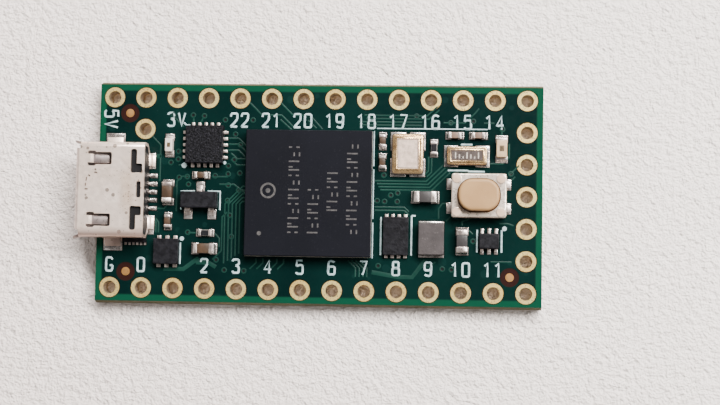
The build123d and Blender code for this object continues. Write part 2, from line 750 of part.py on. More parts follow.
# ---------------------------------------------------------------- push button
BUTTON_X = 4.3
BUTTON_Y = 3.45
BUTTON_FLOOR = 0.35
BUTTON_WALL = 0.45
COVER_SHEET = 0.15
COVER_TOP = 1.25  # above the board
EAR_HEIGHT = 0.06
PLUNGER_TOP = 2.0  # above the board
PLUNGER_X = 3.2
PLUNGER_Y = 2.5
PLUNGER_CORNER = 1.12
PLUNGER_GAP = 0.1
FLANGE_THICKNESS = 0.25
BUTTON_TRAVEL = 0.22
BUTTON_REST_GAP = 0.02  # between the plunger's flange and the cover
cover_bottom = BOARD_TOP + COVER_TOP - COVER_SHEET
flange_top = cover_bottom - BUTTON_REST_GAP
flange_bottom = flange_top - FLANGE_THICKNESS

with BuildPart() as switch_base:
    plate(
        [BUTTON_PLACE],
        BUTTON_X - 2 * COVER_SHEET - 0.02,
        BUTTON_Y - 2 * COVER_SHEET - 0.02,
        BOARD_TOP,
        COVER_TOP - COVER_SHEET,
    )
    cavity(
        BUTTON_PLACE,
        BUTTON_X - 2 * BUTTON_WALL,
        BUTTON_Y - 2 * (BUTTON_WALL - 0.15),
        BOARD_TOP + BUTTON_FLOOR,
        COVER_TOP,
    )
    for x_side, y_side in button_legs:
        cavity(
            (BUTTON_PLACE[0] + x_side * 1.9, y_side * BUTTON_LEG_Y),
            0.62,
            0.62,
            BOARD_TOP,
            0.2,
        )

with BuildPart() as switch_terminals:
    for x_side, y_side in button_legs:
        plate([(BUTTON_PLACE[0] + x_side * 2.04, y_side * BUTTON_LEG_Y)], 0.9, 0.6, BOARD_TOP, 0.18)

with BuildPart() as switch_contacts:
    plate([BUTTON_PLACE], 0.7, 0.7, BOARD_TOP + BUTTON_FLOOR, 0.04)
    for x_side in (-1, 1):
        plate([(BUTTON_PLACE[0] + x_side * 1.32, 0)], 0.3, 1.6, BOARD_TOP + BUTTON_FLOOR, 0.04)

DOME_RADIUS = 1.2
DOME_RISE = flange_bottom - 0.01 - (BOARD_TOP + BUTTON_FLOOR + 0.04)
DOME_SHEET = 0.06
dome_base = BOARD_TOP + BUTTON_FLOOR + 0.04
dome_sphere = (DOME_RADIUS**2 + DOME_RISE**2) / (2 * DOME_RISE)
with BuildPart() as switch_dome:
    with Locations((*BUTTON_PLACE, dome_base + DOME_RISE - dome_sphere)):
        Sphere(dome_sphere)
        Sphere(dome_sphere - DOME_SHEET, mode=Mode.SUBTRACT)
    split(bisect_by=Plane.XY.offset(dome_base), keep=Keep.TOP)

with BuildPart() as switch_plunger:
    plate(
        [BUTTON_PLACE], PLUNGER_X, PLUNGER_Y, flange_top, BOARD_TOP + PLUNGER_TOP - flange_top, PLUNGER_CORNER
    )
    fillet(switch_plunger.faces().sort_by(Axis.Z)[-1].edges(), 0.22)
    plate([BUTTON_PLACE], 3.36, 2.78, flange_bottom, FLANGE_THICKNESS, 0.3)

with BuildPart() as switch_cover:
    plate([BUTTON_PLACE], BUTTON_X, BUTTON_Y, BOARD_TOP + 0.25, COVER_TOP - 0.25, 0.2)
    fillet(switch_cover.faces().sort_by(Axis.Z)[-1].edges(), 0.12)
    cavity(
        BUTTON_PLACE,
        BUTTON_X - 2 * COVER_SHEET,
        BUTTON_Y - 2 * COVER_SHEET,
        BOARD_TOP,
        COVER_TOP - COVER_SHEET,
    )
    with BuildSketch(Plane.XY.offset(BOARD_TOP)):
        with Locations(BUTTON_PLACE):
            RectangleRounded(
                PLUNGER_X + 2 * PLUNGER_GAP, PLUNGER_Y + 2 * PLUNGER_GAP, PLUNGER_CORNER + PLUNGER_GAP
            )
    extrude(amount=2 * COVER_TOP, mode=Mode.SUBTRACT)
    for x_side, y_side in button_legs:
        cavity((BUTTON_PLACE[0] + x_side * 2.1, y_side * BUTTON_LEG_Y), 0.4, 0.72, BOARD_TOP, 0.45)
    # a low rounded ear on each corner of the cover's top
    with BuildSketch(Plane.XY.offset(BOARD_TOP + COVER_TOP - 0.02)):
        with Locations(BUTTON_PLACE):
            for x_side, y_side in button_legs:
                with Locations((x_side * 1.72, y_side * 1.3)):
                    Circle(0.36)
    extrude(amount=EAR_HEIGHT + 0.02)
    fillet(switch_cover.faces().sort_by(Axis.Z)[-4:].edges(), 0.03)

for button_part, button_name in [
    (switch_base, "switch_base"),
    (switch_terminals, "switch_terminals"),
    (switch_contacts, "switch_contacts"),
    (switch_dome, "switch_dome"),
    (switch_plunger, "switch_plunger"),
    (switch_cover, "switch_cover"),
]:
    write(button_part.part, button_name)
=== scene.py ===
# %% [markdown]
# # A small microcontroller board, piece by piece
#
# The CAD part gives every piece its exact size and place. What it can't give is how the
# pieces look: the glassy green mask over thin copper tracks, white printed numbers, bright
# solder, rounded edges that catch the light and the scuffs on a socket that has been used.
# This lesson adds those one at a time. All sizes are in millimetres and are turned into
# metres where they are used, because the frame is in metres.

from math import ceil, cos, pi, radians

import bpy
from mathutils import Matrix, Vector


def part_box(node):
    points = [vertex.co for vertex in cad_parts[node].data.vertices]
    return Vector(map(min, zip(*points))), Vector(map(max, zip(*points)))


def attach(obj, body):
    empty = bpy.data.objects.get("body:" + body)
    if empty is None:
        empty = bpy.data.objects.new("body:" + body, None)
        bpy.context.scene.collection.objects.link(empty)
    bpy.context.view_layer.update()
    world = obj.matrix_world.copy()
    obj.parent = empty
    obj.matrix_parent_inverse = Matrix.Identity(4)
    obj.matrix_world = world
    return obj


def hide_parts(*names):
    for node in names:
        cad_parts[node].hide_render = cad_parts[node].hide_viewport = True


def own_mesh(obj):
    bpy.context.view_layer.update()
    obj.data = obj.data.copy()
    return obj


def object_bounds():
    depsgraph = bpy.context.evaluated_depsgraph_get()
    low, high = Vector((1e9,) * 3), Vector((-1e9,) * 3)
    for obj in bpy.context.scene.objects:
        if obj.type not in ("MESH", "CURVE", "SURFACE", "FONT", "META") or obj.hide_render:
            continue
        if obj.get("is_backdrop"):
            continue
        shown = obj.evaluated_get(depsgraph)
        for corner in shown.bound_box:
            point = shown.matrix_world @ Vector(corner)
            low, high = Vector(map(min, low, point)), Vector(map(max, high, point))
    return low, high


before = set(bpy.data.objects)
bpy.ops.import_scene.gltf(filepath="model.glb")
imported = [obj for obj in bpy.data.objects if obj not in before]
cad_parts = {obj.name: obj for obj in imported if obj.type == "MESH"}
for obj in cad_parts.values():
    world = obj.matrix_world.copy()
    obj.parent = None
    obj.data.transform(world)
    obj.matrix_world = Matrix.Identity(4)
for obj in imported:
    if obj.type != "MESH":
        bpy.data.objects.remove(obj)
MM = 0.001
loaded_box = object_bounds()
print("CAD nodes:", len(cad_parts), "box in mm:", [[round(v / MM, 2) for v in c] for c in loaded_box])


def box_mm(node):
    """Lowest and highest corner of a CAD node, in millimetres."""
    low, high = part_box(node)
    return low / MM, high / MM


BOARD_LOW, BOARD_HIGH = box_mm("solder_mask_top")
BOARD_TOP = BOARD_HIGH.z
print("board top at", round(BOARD_TOP, 3), "mm")

# %% [markdown]
# ## The camera
#
# The board is looked at from almost straight above, a little from the right, so the far
# side of every tall piece is hidden and its near side just shows. A long lens keeps the
# rows of holes parallel. The camera is turned with three axes: where it looks, its right
# hand and, from those two, its up direction.

# %% Camera
CAMERA_PLACE = Vector((10.89, -9.62, 119.83))
CAMERA_LOOK = Vector((-0.0632, 0.0759, -0.9951)).normalized()
CAMERA_RIGHT = Vector((0.9973, 0.0185, -0.0620))

camera_up = CAMERA_RIGHT.cross(CAMERA_LOOK).normalized()
camera_right = CAMERA_LOOK.cross(camera_up)
camera_turn = Matrix((camera_right, camera_up, -CAMERA_LOOK)).transposed()

camera_data = bpy.data.cameras.new("camera")
camera_data.lens = 75
camera_data.sensor_width = 36
camera_data.clip_start = 0.01
camera = bpy.data.objects.new("camera", camera_data)
camera.matrix_world = Matrix.Translation(CAMERA_PLACE * MM) @ camera_turn.to_4x4()
bpy.context.scene.collection.objects.link(camera)
bpy.context.scene.camera = camera
print("camera at", [round(v) for v in CAMERA_PLACE], "mm with a", camera_data.lens, "mm lens")

# %% [markdown]
# ## Light
#
# A pale room lights the board from all sides, which is what makes the metal look bright:
# metal shows whatever is around it. Straight overhead the room is darker, so that the flat
# glassy mask, which mirrors that part of the room, keeps its deep green. One long lamp
# behind the board, wide from left to right and narrow from front to back, gives the thin
# dark line of shadow along the near edge. A weak one fills in from the left, and another,
# low down on the right, makes that side of the table a little brighter. The room's walls
# could be modelled, but a sky with two greys reflects in the same way.

# %% Room and lamps
ROOM_WALLS = 0.50
ROOM_OVERHEAD = 0.08
room = bpy.data.worlds.new("pale_room")
room.use_nodes = True
sky = room.node_tree.nodes["Background"]
sky.inputs["Color"].default_value = (1.0, 0.975, 0.955, 1)
looking = room.node_tree.nodes.new("ShaderNodeTexCoord")
parts = room.node_tree.nodes.new("ShaderNodeSeparateXYZ")
fade = room.node_tree.nodes.new("ShaderNodeMapRange")
fade.inputs["From Min"].default_value = cos(radians(42))
fade.inputs["From Max"].default_value = cos(radians(24))
fade.inputs["To Min"].default_value = ROOM_WALLS
fade.inputs["To Max"].default_value = ROOM_OVERHEAD
room.node_tree.links.new(looking.outputs["Generated"], parts.inputs["Vector"])
room.node_tree.links.new(parts.outputs["Z"], fade.inputs["Value"])
room.node_tree.links.new(fade.outputs["Result"], sky.inputs["Strength"])
bpy.context.scene.world = room


def add_lamp(name, place, size_x, size_y, power, colour):
    """A rectangular lamp at a place in millimetres, turned to face the board."""
    bpy.ops.object.light_add(type="AREA", location=Vector(place) * MM)
    lamp = bpy.context.object
    lamp.name = name
    lamp.data.shape = "RECTANGLE"
    lamp.data.size = size_x * MM
    lamp.data.size_y = size_y * MM
    lamp.data.energy = power
    lamp.data.color = colour
    lamp.rotation_euler = (-Vector(place)).to_track_quat("-Z", "Y").to_euler()


add_lamp("long_lamp", (145, 190, 335), 420, 50, 6.2, (1.0, 0.985, 0.965))
add_lamp("fill_lamp", (-250, -120, 300), 260, 260, 0.08, (0.93, 0.97, 1.0))
add_lamp("window_lamp", (190, 60, 150), 120, 120, 0.28, (1.0, 0.985, 0.965))

# %% [markdown]
# ## Small helpers for modelling
#
# Blender's tools act on whatever is selected, so each new piece starts with nothing
# selected. Faces are then picked in code by where they are or which way they point, in
# place of a click. When a piece is done its place is moved into its mesh, so that its
# object sits at the origin as the CAD nodes do, and it is tied to the body that carries it.


# %% Selecting and finishing
def deselect_all():
    for thing in bpy.context.selected_objects:
        thing.select_set(False)


def make_active(piece):
    deselect_all()
    piece.select_set(True)
    bpy.context.view_layer.objects.active = piece


def select_faces(piece, wanted):
    """Leave the piece in edit mode with only the faces selected for which wanted(face) is true."""
    make_active(piece)
    bpy.ops.object.mode_set(mode="EDIT")
    bpy.ops.mesh.select_mode(type="FACE")
    bpy.ops.mesh.select_all(action="DESELECT")
    bpy.ops.object.mode_set(mode="OBJECT")
    for face in piece.data.polygons:
        face.select = wanted(face)
    bpy.ops.object.mode_set(mode="EDIT")


def apply_modifier(piece, kind, **settings):
    """Add one modifier with its settings and apply it at once."""
    make_active(piece)
    modifier = piece.modifiers.new(kind.title(), kind)
    for setting, value in settings.items():
        setattr(modifier, setting, value)
    bpy.ops.object.modifier_apply(modifier=modifier.name)


def settle(piece, name, material, body="board"):
    """Name a finished piece, put its place into its mesh, give it its finish and let it ride."""
    make_active(piece)
    bpy.ops.object.transform_apply(location=True, rotation=True, scale=True)
    piece.name = name
    piece.data.name = name
    piece.data.materials.clear()
    piece.data.materials.append(material)
    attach(piece, body)
    return piece


def join_pieces(pieces):
    """Join several objects into the first of them."""
    deselect_all()
    for piece in pieces:
        piece.select_set(True)
    bpy.context.view_layer.objects.active = pieces[0]
    bpy.ops.object.join()
    return pieces[0]


def copy_to(piece, place, size=(1, 1, 1), turn=0.0):
    """A copy of a piece with a mesh of its own, at a place in millimetres."""
    twin = piece.copy()
    twin.data = piece.data.copy()
    twin.location = Vector(place) * MM
    twin.scale = size
    twin.rotation_euler = (0, 0, turn)
    bpy.context.scene.collection.objects.link(twin)
    return twin


def disc(radius, height, sides):
    """A low upright cylinder in millimetres, the start of a dot, a via or a peg."""
    bpy.ops.mesh.primitive_cylinder_add(vertices=sides, radius=radius * MM, depth=height * MM)
    return bpy.context.object


def step_top(piece, *steps):
    """Inset the top face and lift it, once for each (inset, lift) in millimetres."""
    select_faces(piece, lambda face: face.normal.z > 0.9)
    for inset, lift in steps:
        bpy.ops.mesh.inset(thickness=inset * MM)
        bpy.ops.transform.translate(value=(0, 0, lift * MM))
    bpy.ops.object.mode_set(mode="OBJECT")


def settle_copies(piece, placings, name, material):
    """Copies of a piece, one for each (place, size, turn), joined and finished as one."""
    copies = [copy_to(piece, *placing) for placing in placings]
    bpy.data.objects.remove(piece)
    return settle(join_pieces(copies), name, material)


print("modelling helpers ready")

# %% [markdown]
# ## Where the small parts are
#
# One CAD node can hold many separate lumps, such as the two metal ends of every capacitor.
# Their places are needed to put solder next to them. They could be typed in again, but the
# frame already knows them: a merged copy of the node's mesh is walked from face to face,
# and each connected lump gives one box.


# %% Boxes of the separate lumps in a CAD node
def merged_copy(node, name):
    """A new object with the node's triangles joined into one connected surface."""
    twin = bpy.data.objects.new(name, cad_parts[node].data.copy())
    twin.data.materials.clear()
    bpy.context.scene.collection.objects.link(twin)
    make_active(twin)
    bpy.ops.object.mode_set(mode="EDIT")
    bpy.ops.mesh.select_all(action="SELECT")
    bpy.ops.mesh.remove_doubles(threshold=0.002 * MM)
    bpy.ops.object.mode_set(mode="OBJECT")
    return twin


def lump_boxes(node):
    """(low, high) corners in millimetres of every connected lump of a CAD node."""
    twin = merged_copy(node, "measuring_copy")
    bpy.ops.object.mode_set(mode="EDIT")
    bpy.ops.mesh.separate(type="LOOSE")
    bpy.ops.object.mode_set(mode="OBJECT")
    boxes = []
    for lump in list(bpy.context.selected_objects):
        corners = [Vector(c) / MM for c in lump.bound_box]
        low = Vector([min(c[i] for c in corners) for i in range(3)])
        high = Vector([max(c[i] for c in corners) for i in range(3)])
        boxes.append((low, high))
        bpy.data.objects.remove(lump)
    return sorted(boxes, key=lambda b: (round(b[0].x, 3), round(b[0].y, 3)))


def centre(box):
    return (box[0] + box[1]) / 2


land_boxes = lump_boxes("solder_pads")
hole_boxes = lump_boxes("barrel_plating")
print("lands:", len(land_boxes), "holes:", len(hole_boxes))

# %% [markdown]
# ## Building materials from nodes
#
# A finish is a shader with patterns fed into it. The patterns that several finishes share,
# such as grain, cloudy stains, scratches and dust, are each built once as a node group and
# placed in every material with values of its own. The shader stays in the material, and a
# value that is the same all over is set on the shader itself.


# %% Short ways to add nodes
def put(tree, kind, settings=None, inputs=None):
    """Add a node, set its options, and set or link its inputs."""
    node = tree.nodes.new(kind)
    for option, value in (settings or {}).items():
        setattr(node, option, value)
    for socket, value in (inputs or {}).items():
        if isinstance(value, bpy.types.NodeSocket):
            tree.links.new(value, node.inputs[socket])
        else:
            node.inputs[socket].default_value = value
    return node


def calculate(tree, operation, first, second=0.0):
    node = put(tree, "ShaderNodeMath", {"operation": operation}, {0: first, 1: second})
    return node.outputs[0]


def multiply(tree, first, *others):
    """The product of two or more values."""
    product = first
    for other in others:
        product = calculate(tree, "MULTIPLY", product, other)
    return product


def ramp_between(tree, value, low, high, low_result=0.0, high_result=1.0):
    """Turn a value that runs from low to high into one that runs between two results."""
    inputs = {"Value": value, "From Min": low, "From Max": high}
    inputs.update({"To Min": low_result, "To Max": high_result})
    return put(tree, "ShaderNodeMapRange", {"clamp": True}, inputs).outputs["Result"]


def ramp_mm(tree, value, low, high, low_result=0.0, high_result=1.0):
    """The same for a length, with low and high in millimetres."""
    return ramp_between(tree, value, low * MM, high * MM, low_result, high_result)


def place_along(tree, place, axis):
    """How far along an axis of the frame a point lies, in metres."""
    return put(tree, "ShaderNodeSeparateXYZ", None, {"Vector": place}).outputs[axis]


def mix_colours(tree, mask, first, second):
    """The first colour where the mask is 0 and the second where it is 1."""
    node = put(tree, "ShaderNodeMix", {"data_type": "RGBA"}, {0: mask})
    for socket, colour in ((6, first), (7, second)):
        if isinstance(colour, bpy.types.NodeSocket):
            tree.links.new(colour, node.inputs[socket])
        else:
            node.inputs[socket].default_value = (*colour, 1)
    return node.outputs[2]


def new_group(name, inputs, output):
    """An empty node group with a Vector input, number inputs and one number output."""
    tree = bpy.data.node_groups.new(name, "ShaderNodeTree")
    tree.interface.new_socket("Vector", in_out="INPUT", socket_type="NodeSocketVector")
    for socket, value in inputs.items():
        number = tree.interface.new_socket(socket, in_out="INPUT", socket_type="NodeSocketFloat")
        number.default_value = value
    tree.interface.new_socket(output, in_out="OUTPUT", socket_type="NodeSocketFloat")
    entry = tree.nodes.new("NodeGroupInput").outputs
    leave = tree.nodes.new("NodeGroupOutput").inputs
    return tree, entry, leave


print("node helpers ready")

# %% [markdown]
# Four patterns cover the board. Cloudy patches vary a colour slowly. Fine grain is the
# roughness of moulded plastic or plating. Scratches are thin lines kept from a stretched
# noise where it crosses its middle value. Dust is a scatter of small round specks, and on
# the coarse chip the same specks are painted glints.

# %% Shared patterns
cloudy_patches, entry, leave = new_group("cloudy_patches", {"Scale": 300.0, "Contrast": 1.0}, "Mask")
noise_inputs = {"Vector": entry["Vector"], "Scale": entry["Scale"], "Detail": 3.0}
noise = put(cloudy_patches, "ShaderNodeTexNoise", None, noise_inputs)
centred = calculate(cloudy_patches, "SUBTRACT", noise.outputs["Fac"], 0.5)
widened = multiply(cloudy_patches, centred, entry["Contrast"], 2.5)
spread = calculate(cloudy_patches, "ADD", widened, 0.5)
cloudy_patches.links.new(ramp_between(cloudy_patches, spread, 0.0, 1.0), leave["Mask"])

fine_grain, entry, leave = new_group("fine_grain", {"Scale": 12000.0}, "Height")
coarse = put(fine_grain, "ShaderNodeTexNoise", None, {"Vector": entry["Vector"], "Scale": entry["Scale"]})
finer_scale = multiply(fine_grain, entry["Scale"], 2.7)
finer = put(fine_grain, "ShaderNodeTexNoise", None, {"Vector": entry["Vector"], "Scale": finer_scale})
half = multiply(fine_grain, finer.outputs["Fac"], 0.5)
both = calculate(fine_grain, "ADD", coarse.outputs["Fac"], half)
fine_grain.links.new(both, leave["Height"])

scratches, entry, leave = new_group("scratches", {"Scale": 900.0, "Amount": 0.5, "Turn": 0.5}, "Mask")
turned = put(scratches, "ShaderNodeVectorRotate", None, {"Vector": entry["Vector"], "Angle": entry["Turn"]})
stretched = put(scratches, "ShaderNodeMapping", None, {"Vector": turned.outputs[0], "Scale": (1, 9, 1)})
noise_inputs = {"Vector": stretched.outputs[0], "Scale": entry["Scale"], "Detail": 2.0}
noise = put(scratches, "ShaderNodeTexNoise", None, noise_inputs)
from_middle = calculate(scratches, "ABSOLUTE", calculate(scratches, "SUBTRACT", noise.outputs["Fac"], 0.5))
line = ramp_between(scratches, from_middle, 0.0, 0.012, 1.0, 0.0)
wider_scale = multiply(scratches, entry["Scale"], 0.6)
some_places = put(scratches, "ShaderNodeTexNoise", None, {"Vector": entry["Vector"], "Scale": wider_scale})
kept = ramp_between(scratches, some_places.outputs["Fac"], 0.45, 0.62)
scratches.links.new(multiply(scratches, line, kept, entry["Amount"]), leave["Mask"])

dust_and_glints, entry, leave = new_group("dust_and_glints", {"Scale": 3000.0, "Amount": 0.5}, "Mask")
cells = put(dust_and_glints, "ShaderNodeTexVoronoi", None, {"Vector": entry["Vector"], "Scale": entry["Scale"]})
shade = put(dust_and_glints, "ShaderNodeSeparateColor", None, {"Color": cells.outputs["Color"]})
speck_size = ramp_between(dust_and_glints, shade.outputs[0], 0.45, 1.0, 0.0, 0.34)
inside = calculate(dust_and_glints, "LESS_THAN", cells.outputs["Distance"], speck_size)
dust_and_glints.links.new(multiply(dust_and_glints, inside, entry["Amount"]), leave["Mask"])
print("shared patterns:", [group.name for group in bpy.data.node_groups])

# %% [markdown]
# Nearly every finish on the board is made in the same way: two close colours mixed by the
# cloudy patches, then rubs and dust over them, and a fine grain that makes both the gloss
# and the surface uneven. On the coarse chip the specks are painted glints in place of dust.
# So one function makes them all, and what is special about a finish, such as the painted
# shade inside a plated hole, is added to it afterwards.


# %% One finish from the shared patterns
def pattern(tree, group, place, **values):
    """Place a shared pattern in a material."""
    node = put(tree, "ShaderNodeGroup", {"node_tree": group})
    tree.links.new(place, node.inputs["Vector"])
    for socket, value in values.items():
        node.inputs[socket].default_value = value
    return node.outputs[0]


def finish(name, light, dark, roughness, grain=12000, bump=0.15, depth=0.01, patch=500, contrast=1.0,
           metallic=0.0, shine=0.5, rubs=0.0, rub_colour=(0.8, 0.8, 0.8), specks=0.0,
           speck_colour=(0.6, 0.58, 0.55), speck_scale=2500):
    """A material with cloudy colour, uneven gloss, grain, scratches and specks of dust, which on the coarse
    chip are painted glints.
    """
    material = bpy.data.materials.new(name)
    material.use_nodes = True
    tree = material.node_tree
    shader = tree.nodes["Principled BSDF"]
    shader.inputs["Metallic"].default_value = metallic
    shader.inputs["Specular IOR Level"].default_value = shine
    place = put(tree, "ShaderNodeTexCoord").outputs["Object"]
    cloud = pattern(tree, cloudy_patches, place, Scale=patch, Contrast=contrast)
    height = pattern(tree, fine_grain, place, Scale=grain)
    colour = mix_colours(tree, cloud, dark, light)
    if rubs:
        rub = pattern(tree, scratches, place, Scale=900, Amount=rubs, Turn=0.7)
        colour = mix_colours(tree, rub, colour, rub_colour)
    if specks:
        speck = pattern(tree, dust_and_glints, place, Scale=speck_scale, Amount=specks)
        colour = mix_colours(tree, speck, colour, speck_colour)
    tree.links.new(colour, shader.inputs["Base Color"])
    uneven = ramp_between(tree, height, 0.45, 1.05, roughness * 0.75, min(1.0, roughness * 1.25))
    tree.links.new(uneven, shader.inputs["Roughness"])
    relief = put(tree, "ShaderNodeBump", None, {"Strength": bump, "Distance": depth * MM, "Height": height})
    tree.links.new(relief.outputs["Normal"], shader.inputs["Normal"])
    return material


def parts_of(material):
    """The node tree of a finish and the place that its patterns read, for changes to it."""
    tree = material.node_tree
    place = next(node for node in tree.nodes if node.bl_idname == "ShaderNodeTexCoord").outputs["Object"]
    return tree, place


def tint(tree, mask, colour):
    """Lay one more colour over a finish, where the mask is 1."""
    base = tree.nodes["Principled BSDF"].inputs["Base Color"]
    tree.links.new(mix_colours(tree, mask, base.links[0].from_socket, colour), base)


print("one function for every finish ready")

# %% [markdown]
# ## The green mask
#
# The mask is a thin glassy lacquer over copper. Where the copper plane stops, about half a
# millimetre from the board's edge, light gets into the laminate and the lacquer looks a
# brighter green. That band is worked out from the board's own size, so it follows the edge.

# %% Green mask
mask_finish = finish(
    "green_mask", (0.0016, 0.0135, 0.0115), (0.0009, 0.0080, 0.0074), 0.22, grain=2500, bump=0.10,
    patch=160, contrast=1.2, shine=0.13, specks=0.25, speck_colour=(0.006, 0.028, 0.024),
    speck_scale=900
)
EDGE_BAND = 0.55
BAND_BLUR = 0.12
tree, place = parts_of(mask_finish)
middle_x = (BOARD_LOW.x + BOARD_HIGH.x) / 2
half_x = (BOARD_HIGH.x - BOARD_LOW.x) / 2
half_y = (BOARD_HIGH.y - BOARD_LOW.y) / 2
past_middle = calculate(tree, "SUBTRACT", place_along(tree, place, "X"), middle_x * MM)
from_middle_x = calculate(tree, "ABSOLUTE", past_middle)
from_middle_y = calculate(tree, "ABSOLUTE", place_along(tree, place, "Y"))
band_x, band_y = half_x - EDGE_BAND, half_y - EDGE_BAND
near_x = ramp_mm(tree, from_middle_x, band_x, band_x + BAND_BLUR)
near_y = ramp_mm(tree, from_middle_y, band_y, band_y + BAND_BLUR)
near_edge = calculate(tree, "MAXIMUM", near_x, near_y)
tint(tree, multiply(tree, near_edge, 0.8), (0.0035, 0.050, 0.025))
track_finish = finish(
    "green_over_copper", (0.0046, 0.034, 0.024), (0.0024, 0.020, 0.015), 0.42, grain=4000,
    patch=400, shine=0.14
)
print("band of", EDGE_BAND, "mm round a board of", round(2 * half_x, 2), "x", round(2 * half_y, 2), "mm")

# %% [markdown]
# ## The bare laminate
#
# The edge of the board shows woven glass and resin in thin level layers, so its colour
# changes quickly with height. The shared cloudy pattern does this when it is squeezed along
# Z, and just below the mask a thin band of painted shadow darkens the laminate.

# %% Bare laminate
laminate_finish = finish(
    "glass_epoxy", (0.12, 0.095, 0.045), (0.07, 0.055, 0.025), 0.55, grain=6000, bump=0.3,
    shine=0.06
)
tree, place = parts_of(laminate_finish)
layers = put(tree, "ShaderNodeMapping", None, {"Vector": place, "Scale": (0.15, 0.15, 4.0)})
weave = pattern(tree, cloudy_patches, layers.outputs[0], Scale=2600, Contrast=2.0)
tint(tree, weave, (0.050, 0.047, 0.020))
level = place_along(tree, place, "Z")
# painted shadow: a thin dark band on the laminate just below the mask
painted_shadow_band = ramp_mm(tree, level, BOARD_TOP - 0.08, BOARD_TOP - 0.05)
tint(tree, painted_shadow_band, (0.016, 0.0046, 0.0034))
print("painted shadow on the laminate from", round(BOARD_TOP - 0.08, 2), "mm up")

# %% [markdown]
# ## Gold, copper, tin and solder
#
# Metals have no colour of their own but tint what they reflect, and their age shows in
# stains and rubs. The gold of a plated hole could be one colour all over. Down in the
# barrel it reflects only itself and looks brown, so between its two rings painted shade darkens it.

# %% Gold, copper, tin and solder
RING_LEVEL, BARREL_LEVEL = 0.04, 0.14  # how far below a ring the dark starts and is full
gold_finish = finish(
    "gold_plating", (1.0, 0.80, 0.32), (0.95, 0.63, 0.19), 0.30, grain=5000, bump=0.20, depth=0.010,
    patch=500, metallic=0.72, rubs=0.3, rub_colour=(1.0, 0.90, 0.56)
)
tree, place = parts_of(gold_finish)
level = place_along(tree, place, "Z")
# painted shade on the barrel's wall, between its top ring and its bottom ring
below_top_ring = ramp_mm(tree, level, BOARD_TOP - BARREL_LEVEL, BOARD_TOP - RING_LEVEL, 1.0, 0.0)
above_low_ring = ramp_mm(tree, level, RING_LEVEL, BARREL_LEVEL)
tint(tree, multiply(tree, below_top_ring, above_low_ring), (0.46, 0.37, 0.27))
dot_finish = finish(
    "bare_copper_dot", (0.60, 0.31, 0.105), (0.42, 0.20, 0.06), 0.35, grain=5000, bump=0.3,
    patch=1500, metallic=0.8
)
tin_finish = finish(
    "tinned_land", (0.74, 0.64, 0.58), (0.40, 0.33, 0.30), 0.32, grain=6000, bump=0.5, depth=0.02,
    patch=1800, contrast=1.5, metallic=0.85
)
solder_finish = finish(
    "solder", (0.72, 0.66, 0.62), (0.36, 0.31, 0.29), 0.26, grain=4500, bump=0.4, depth=0.03,
    patch=1500, contrast=1.5, metallic=0.9
)
print("plating, tin and solder:", [f.name for f in (gold_finish, dot_finish, tin_finish, solder_finish)])

# %% [markdown]
# ## The socket's steel
#
# The socket is bent from thin steel sheet. It has fine dark scratches, gets dirtier towards
# its rear, and has a patch of dried flux. Its lip and near shoulder lean away from the
# light, and they, the latch springs and the inside of the shell get painted shade. The stains
# and the shade could be painted on an unwrapped texture, but masks worked out from the
# place on the piece stay sharp at any distance and need no unwrapping.

# %% Socket steel
steel_finish = finish(
    "socket_steel", (1.0, 0.83, 0.72), (0.86, 0.69, 0.58), 0.34, grain=2600, bump=0.12, depth=0.015,
    patch=350, contrast=0.8, metallic=0.6, rubs=0.5, rub_colour=(0.32, 0.24, 0.19), specks=0.7,
    speck_colour=(0.06, 0.035, 0.02), speck_scale=1900
)
tree, place = parts_of(steel_finish)

# places on the socket in millimetres, with X running to its rear and Y across it
DIRT_STARTS, DIRT_FULL = -17.2, -15.0
FLUX_MIDDLE = -14.85
LIP, LIP_BLUR = -18.66, 0.10
SHOULDER, SHOULDER_BLUR = -3.50, 0.55
SPRING_MIDDLE, SPRING_HALF = 2.42, 0.36
SPRING_DIPS, WINDOW_ENDS = -17.56, -16.12
WALL_INSIDE, BACK_INSIDE = 3.40, -13.60
ROOF_INSIDE = box_mm("usb_insulator")[1].z

along = place_along(tree, place, "X")
across = place_along(tree, place, "Y")
sideways = calculate(tree, "ABSOLUTE", across)
stained = pattern(tree, cloudy_patches, place, Scale=430, Contrast=2.2)
grime = pattern(tree, dust_and_glints, place, Scale=5200, Amount=1.0)
towards_rear = ramp_mm(tree, along, DIRT_STARTS, DIRT_FULL, 0.25, 1.0)
tint(tree, multiply(tree, stained, grime, towards_rear), (0.12, 0.065, 0.035))
tint(tree, multiply(tree, stained, towards_rear, 0.28), (0.52, 0.34, 0.22))
# dried flux in the middle of the roof, just ahead of the rear windows
from_flux = calculate(tree, "ABSOLUTE", calculate(tree, "SUBTRACT", along, FLUX_MIDDLE * MM))
flux_length = ramp_mm(tree, from_flux, 0.10, 0.75, 1.0, 0.0)
flux_place = multiply(tree, flux_length, ramp_mm(tree, sideways, 0.7, 1.9, 1.0, 0.0))
flux_specks = pattern(tree, dust_and_glints, place, Scale=4600, Amount=1.0)
tint(tree, multiply(tree, flux_place, 0.4), (0.55, 0.36, 0.22))
tint(tree, multiply(tree, flux_specks, flux_place), (0.075, 0.035, 0.018))
# the near shoulder and the flared lip face away from the light
tint(tree, ramp_mm(tree, across, SHOULDER, SHOULDER + SHOULDER_BLUR, 0.8, 0.0), (0.34, 0.22, 0.18))
tint(tree, ramp_mm(tree, along, LIP, LIP + LIP_BLUR, 0.8, 0.0), (0.27, 0.20, 0.18))
# the latch springs dip into the mouth, out of the light
from_spring = calculate(tree, "ABSOLUTE", calculate(tree, "SUBTRACT", sideways, SPRING_MIDDLE * MM))
on_spring = ramp_mm(tree, from_spring, SPRING_HALF, SPRING_HALF + 0.04, 1.0, 0.0)
past_dip = ramp_mm(tree, along, SPRING_DIPS, SPRING_DIPS + 0.08)
before_end = ramp_mm(tree, along, WINDOW_ENDS, WINDOW_ENDS + 0.06, 1.0, 0.0)
tint(tree, multiply(tree, on_spring, past_dip, before_end), (0.17, 0.135, 0.135))
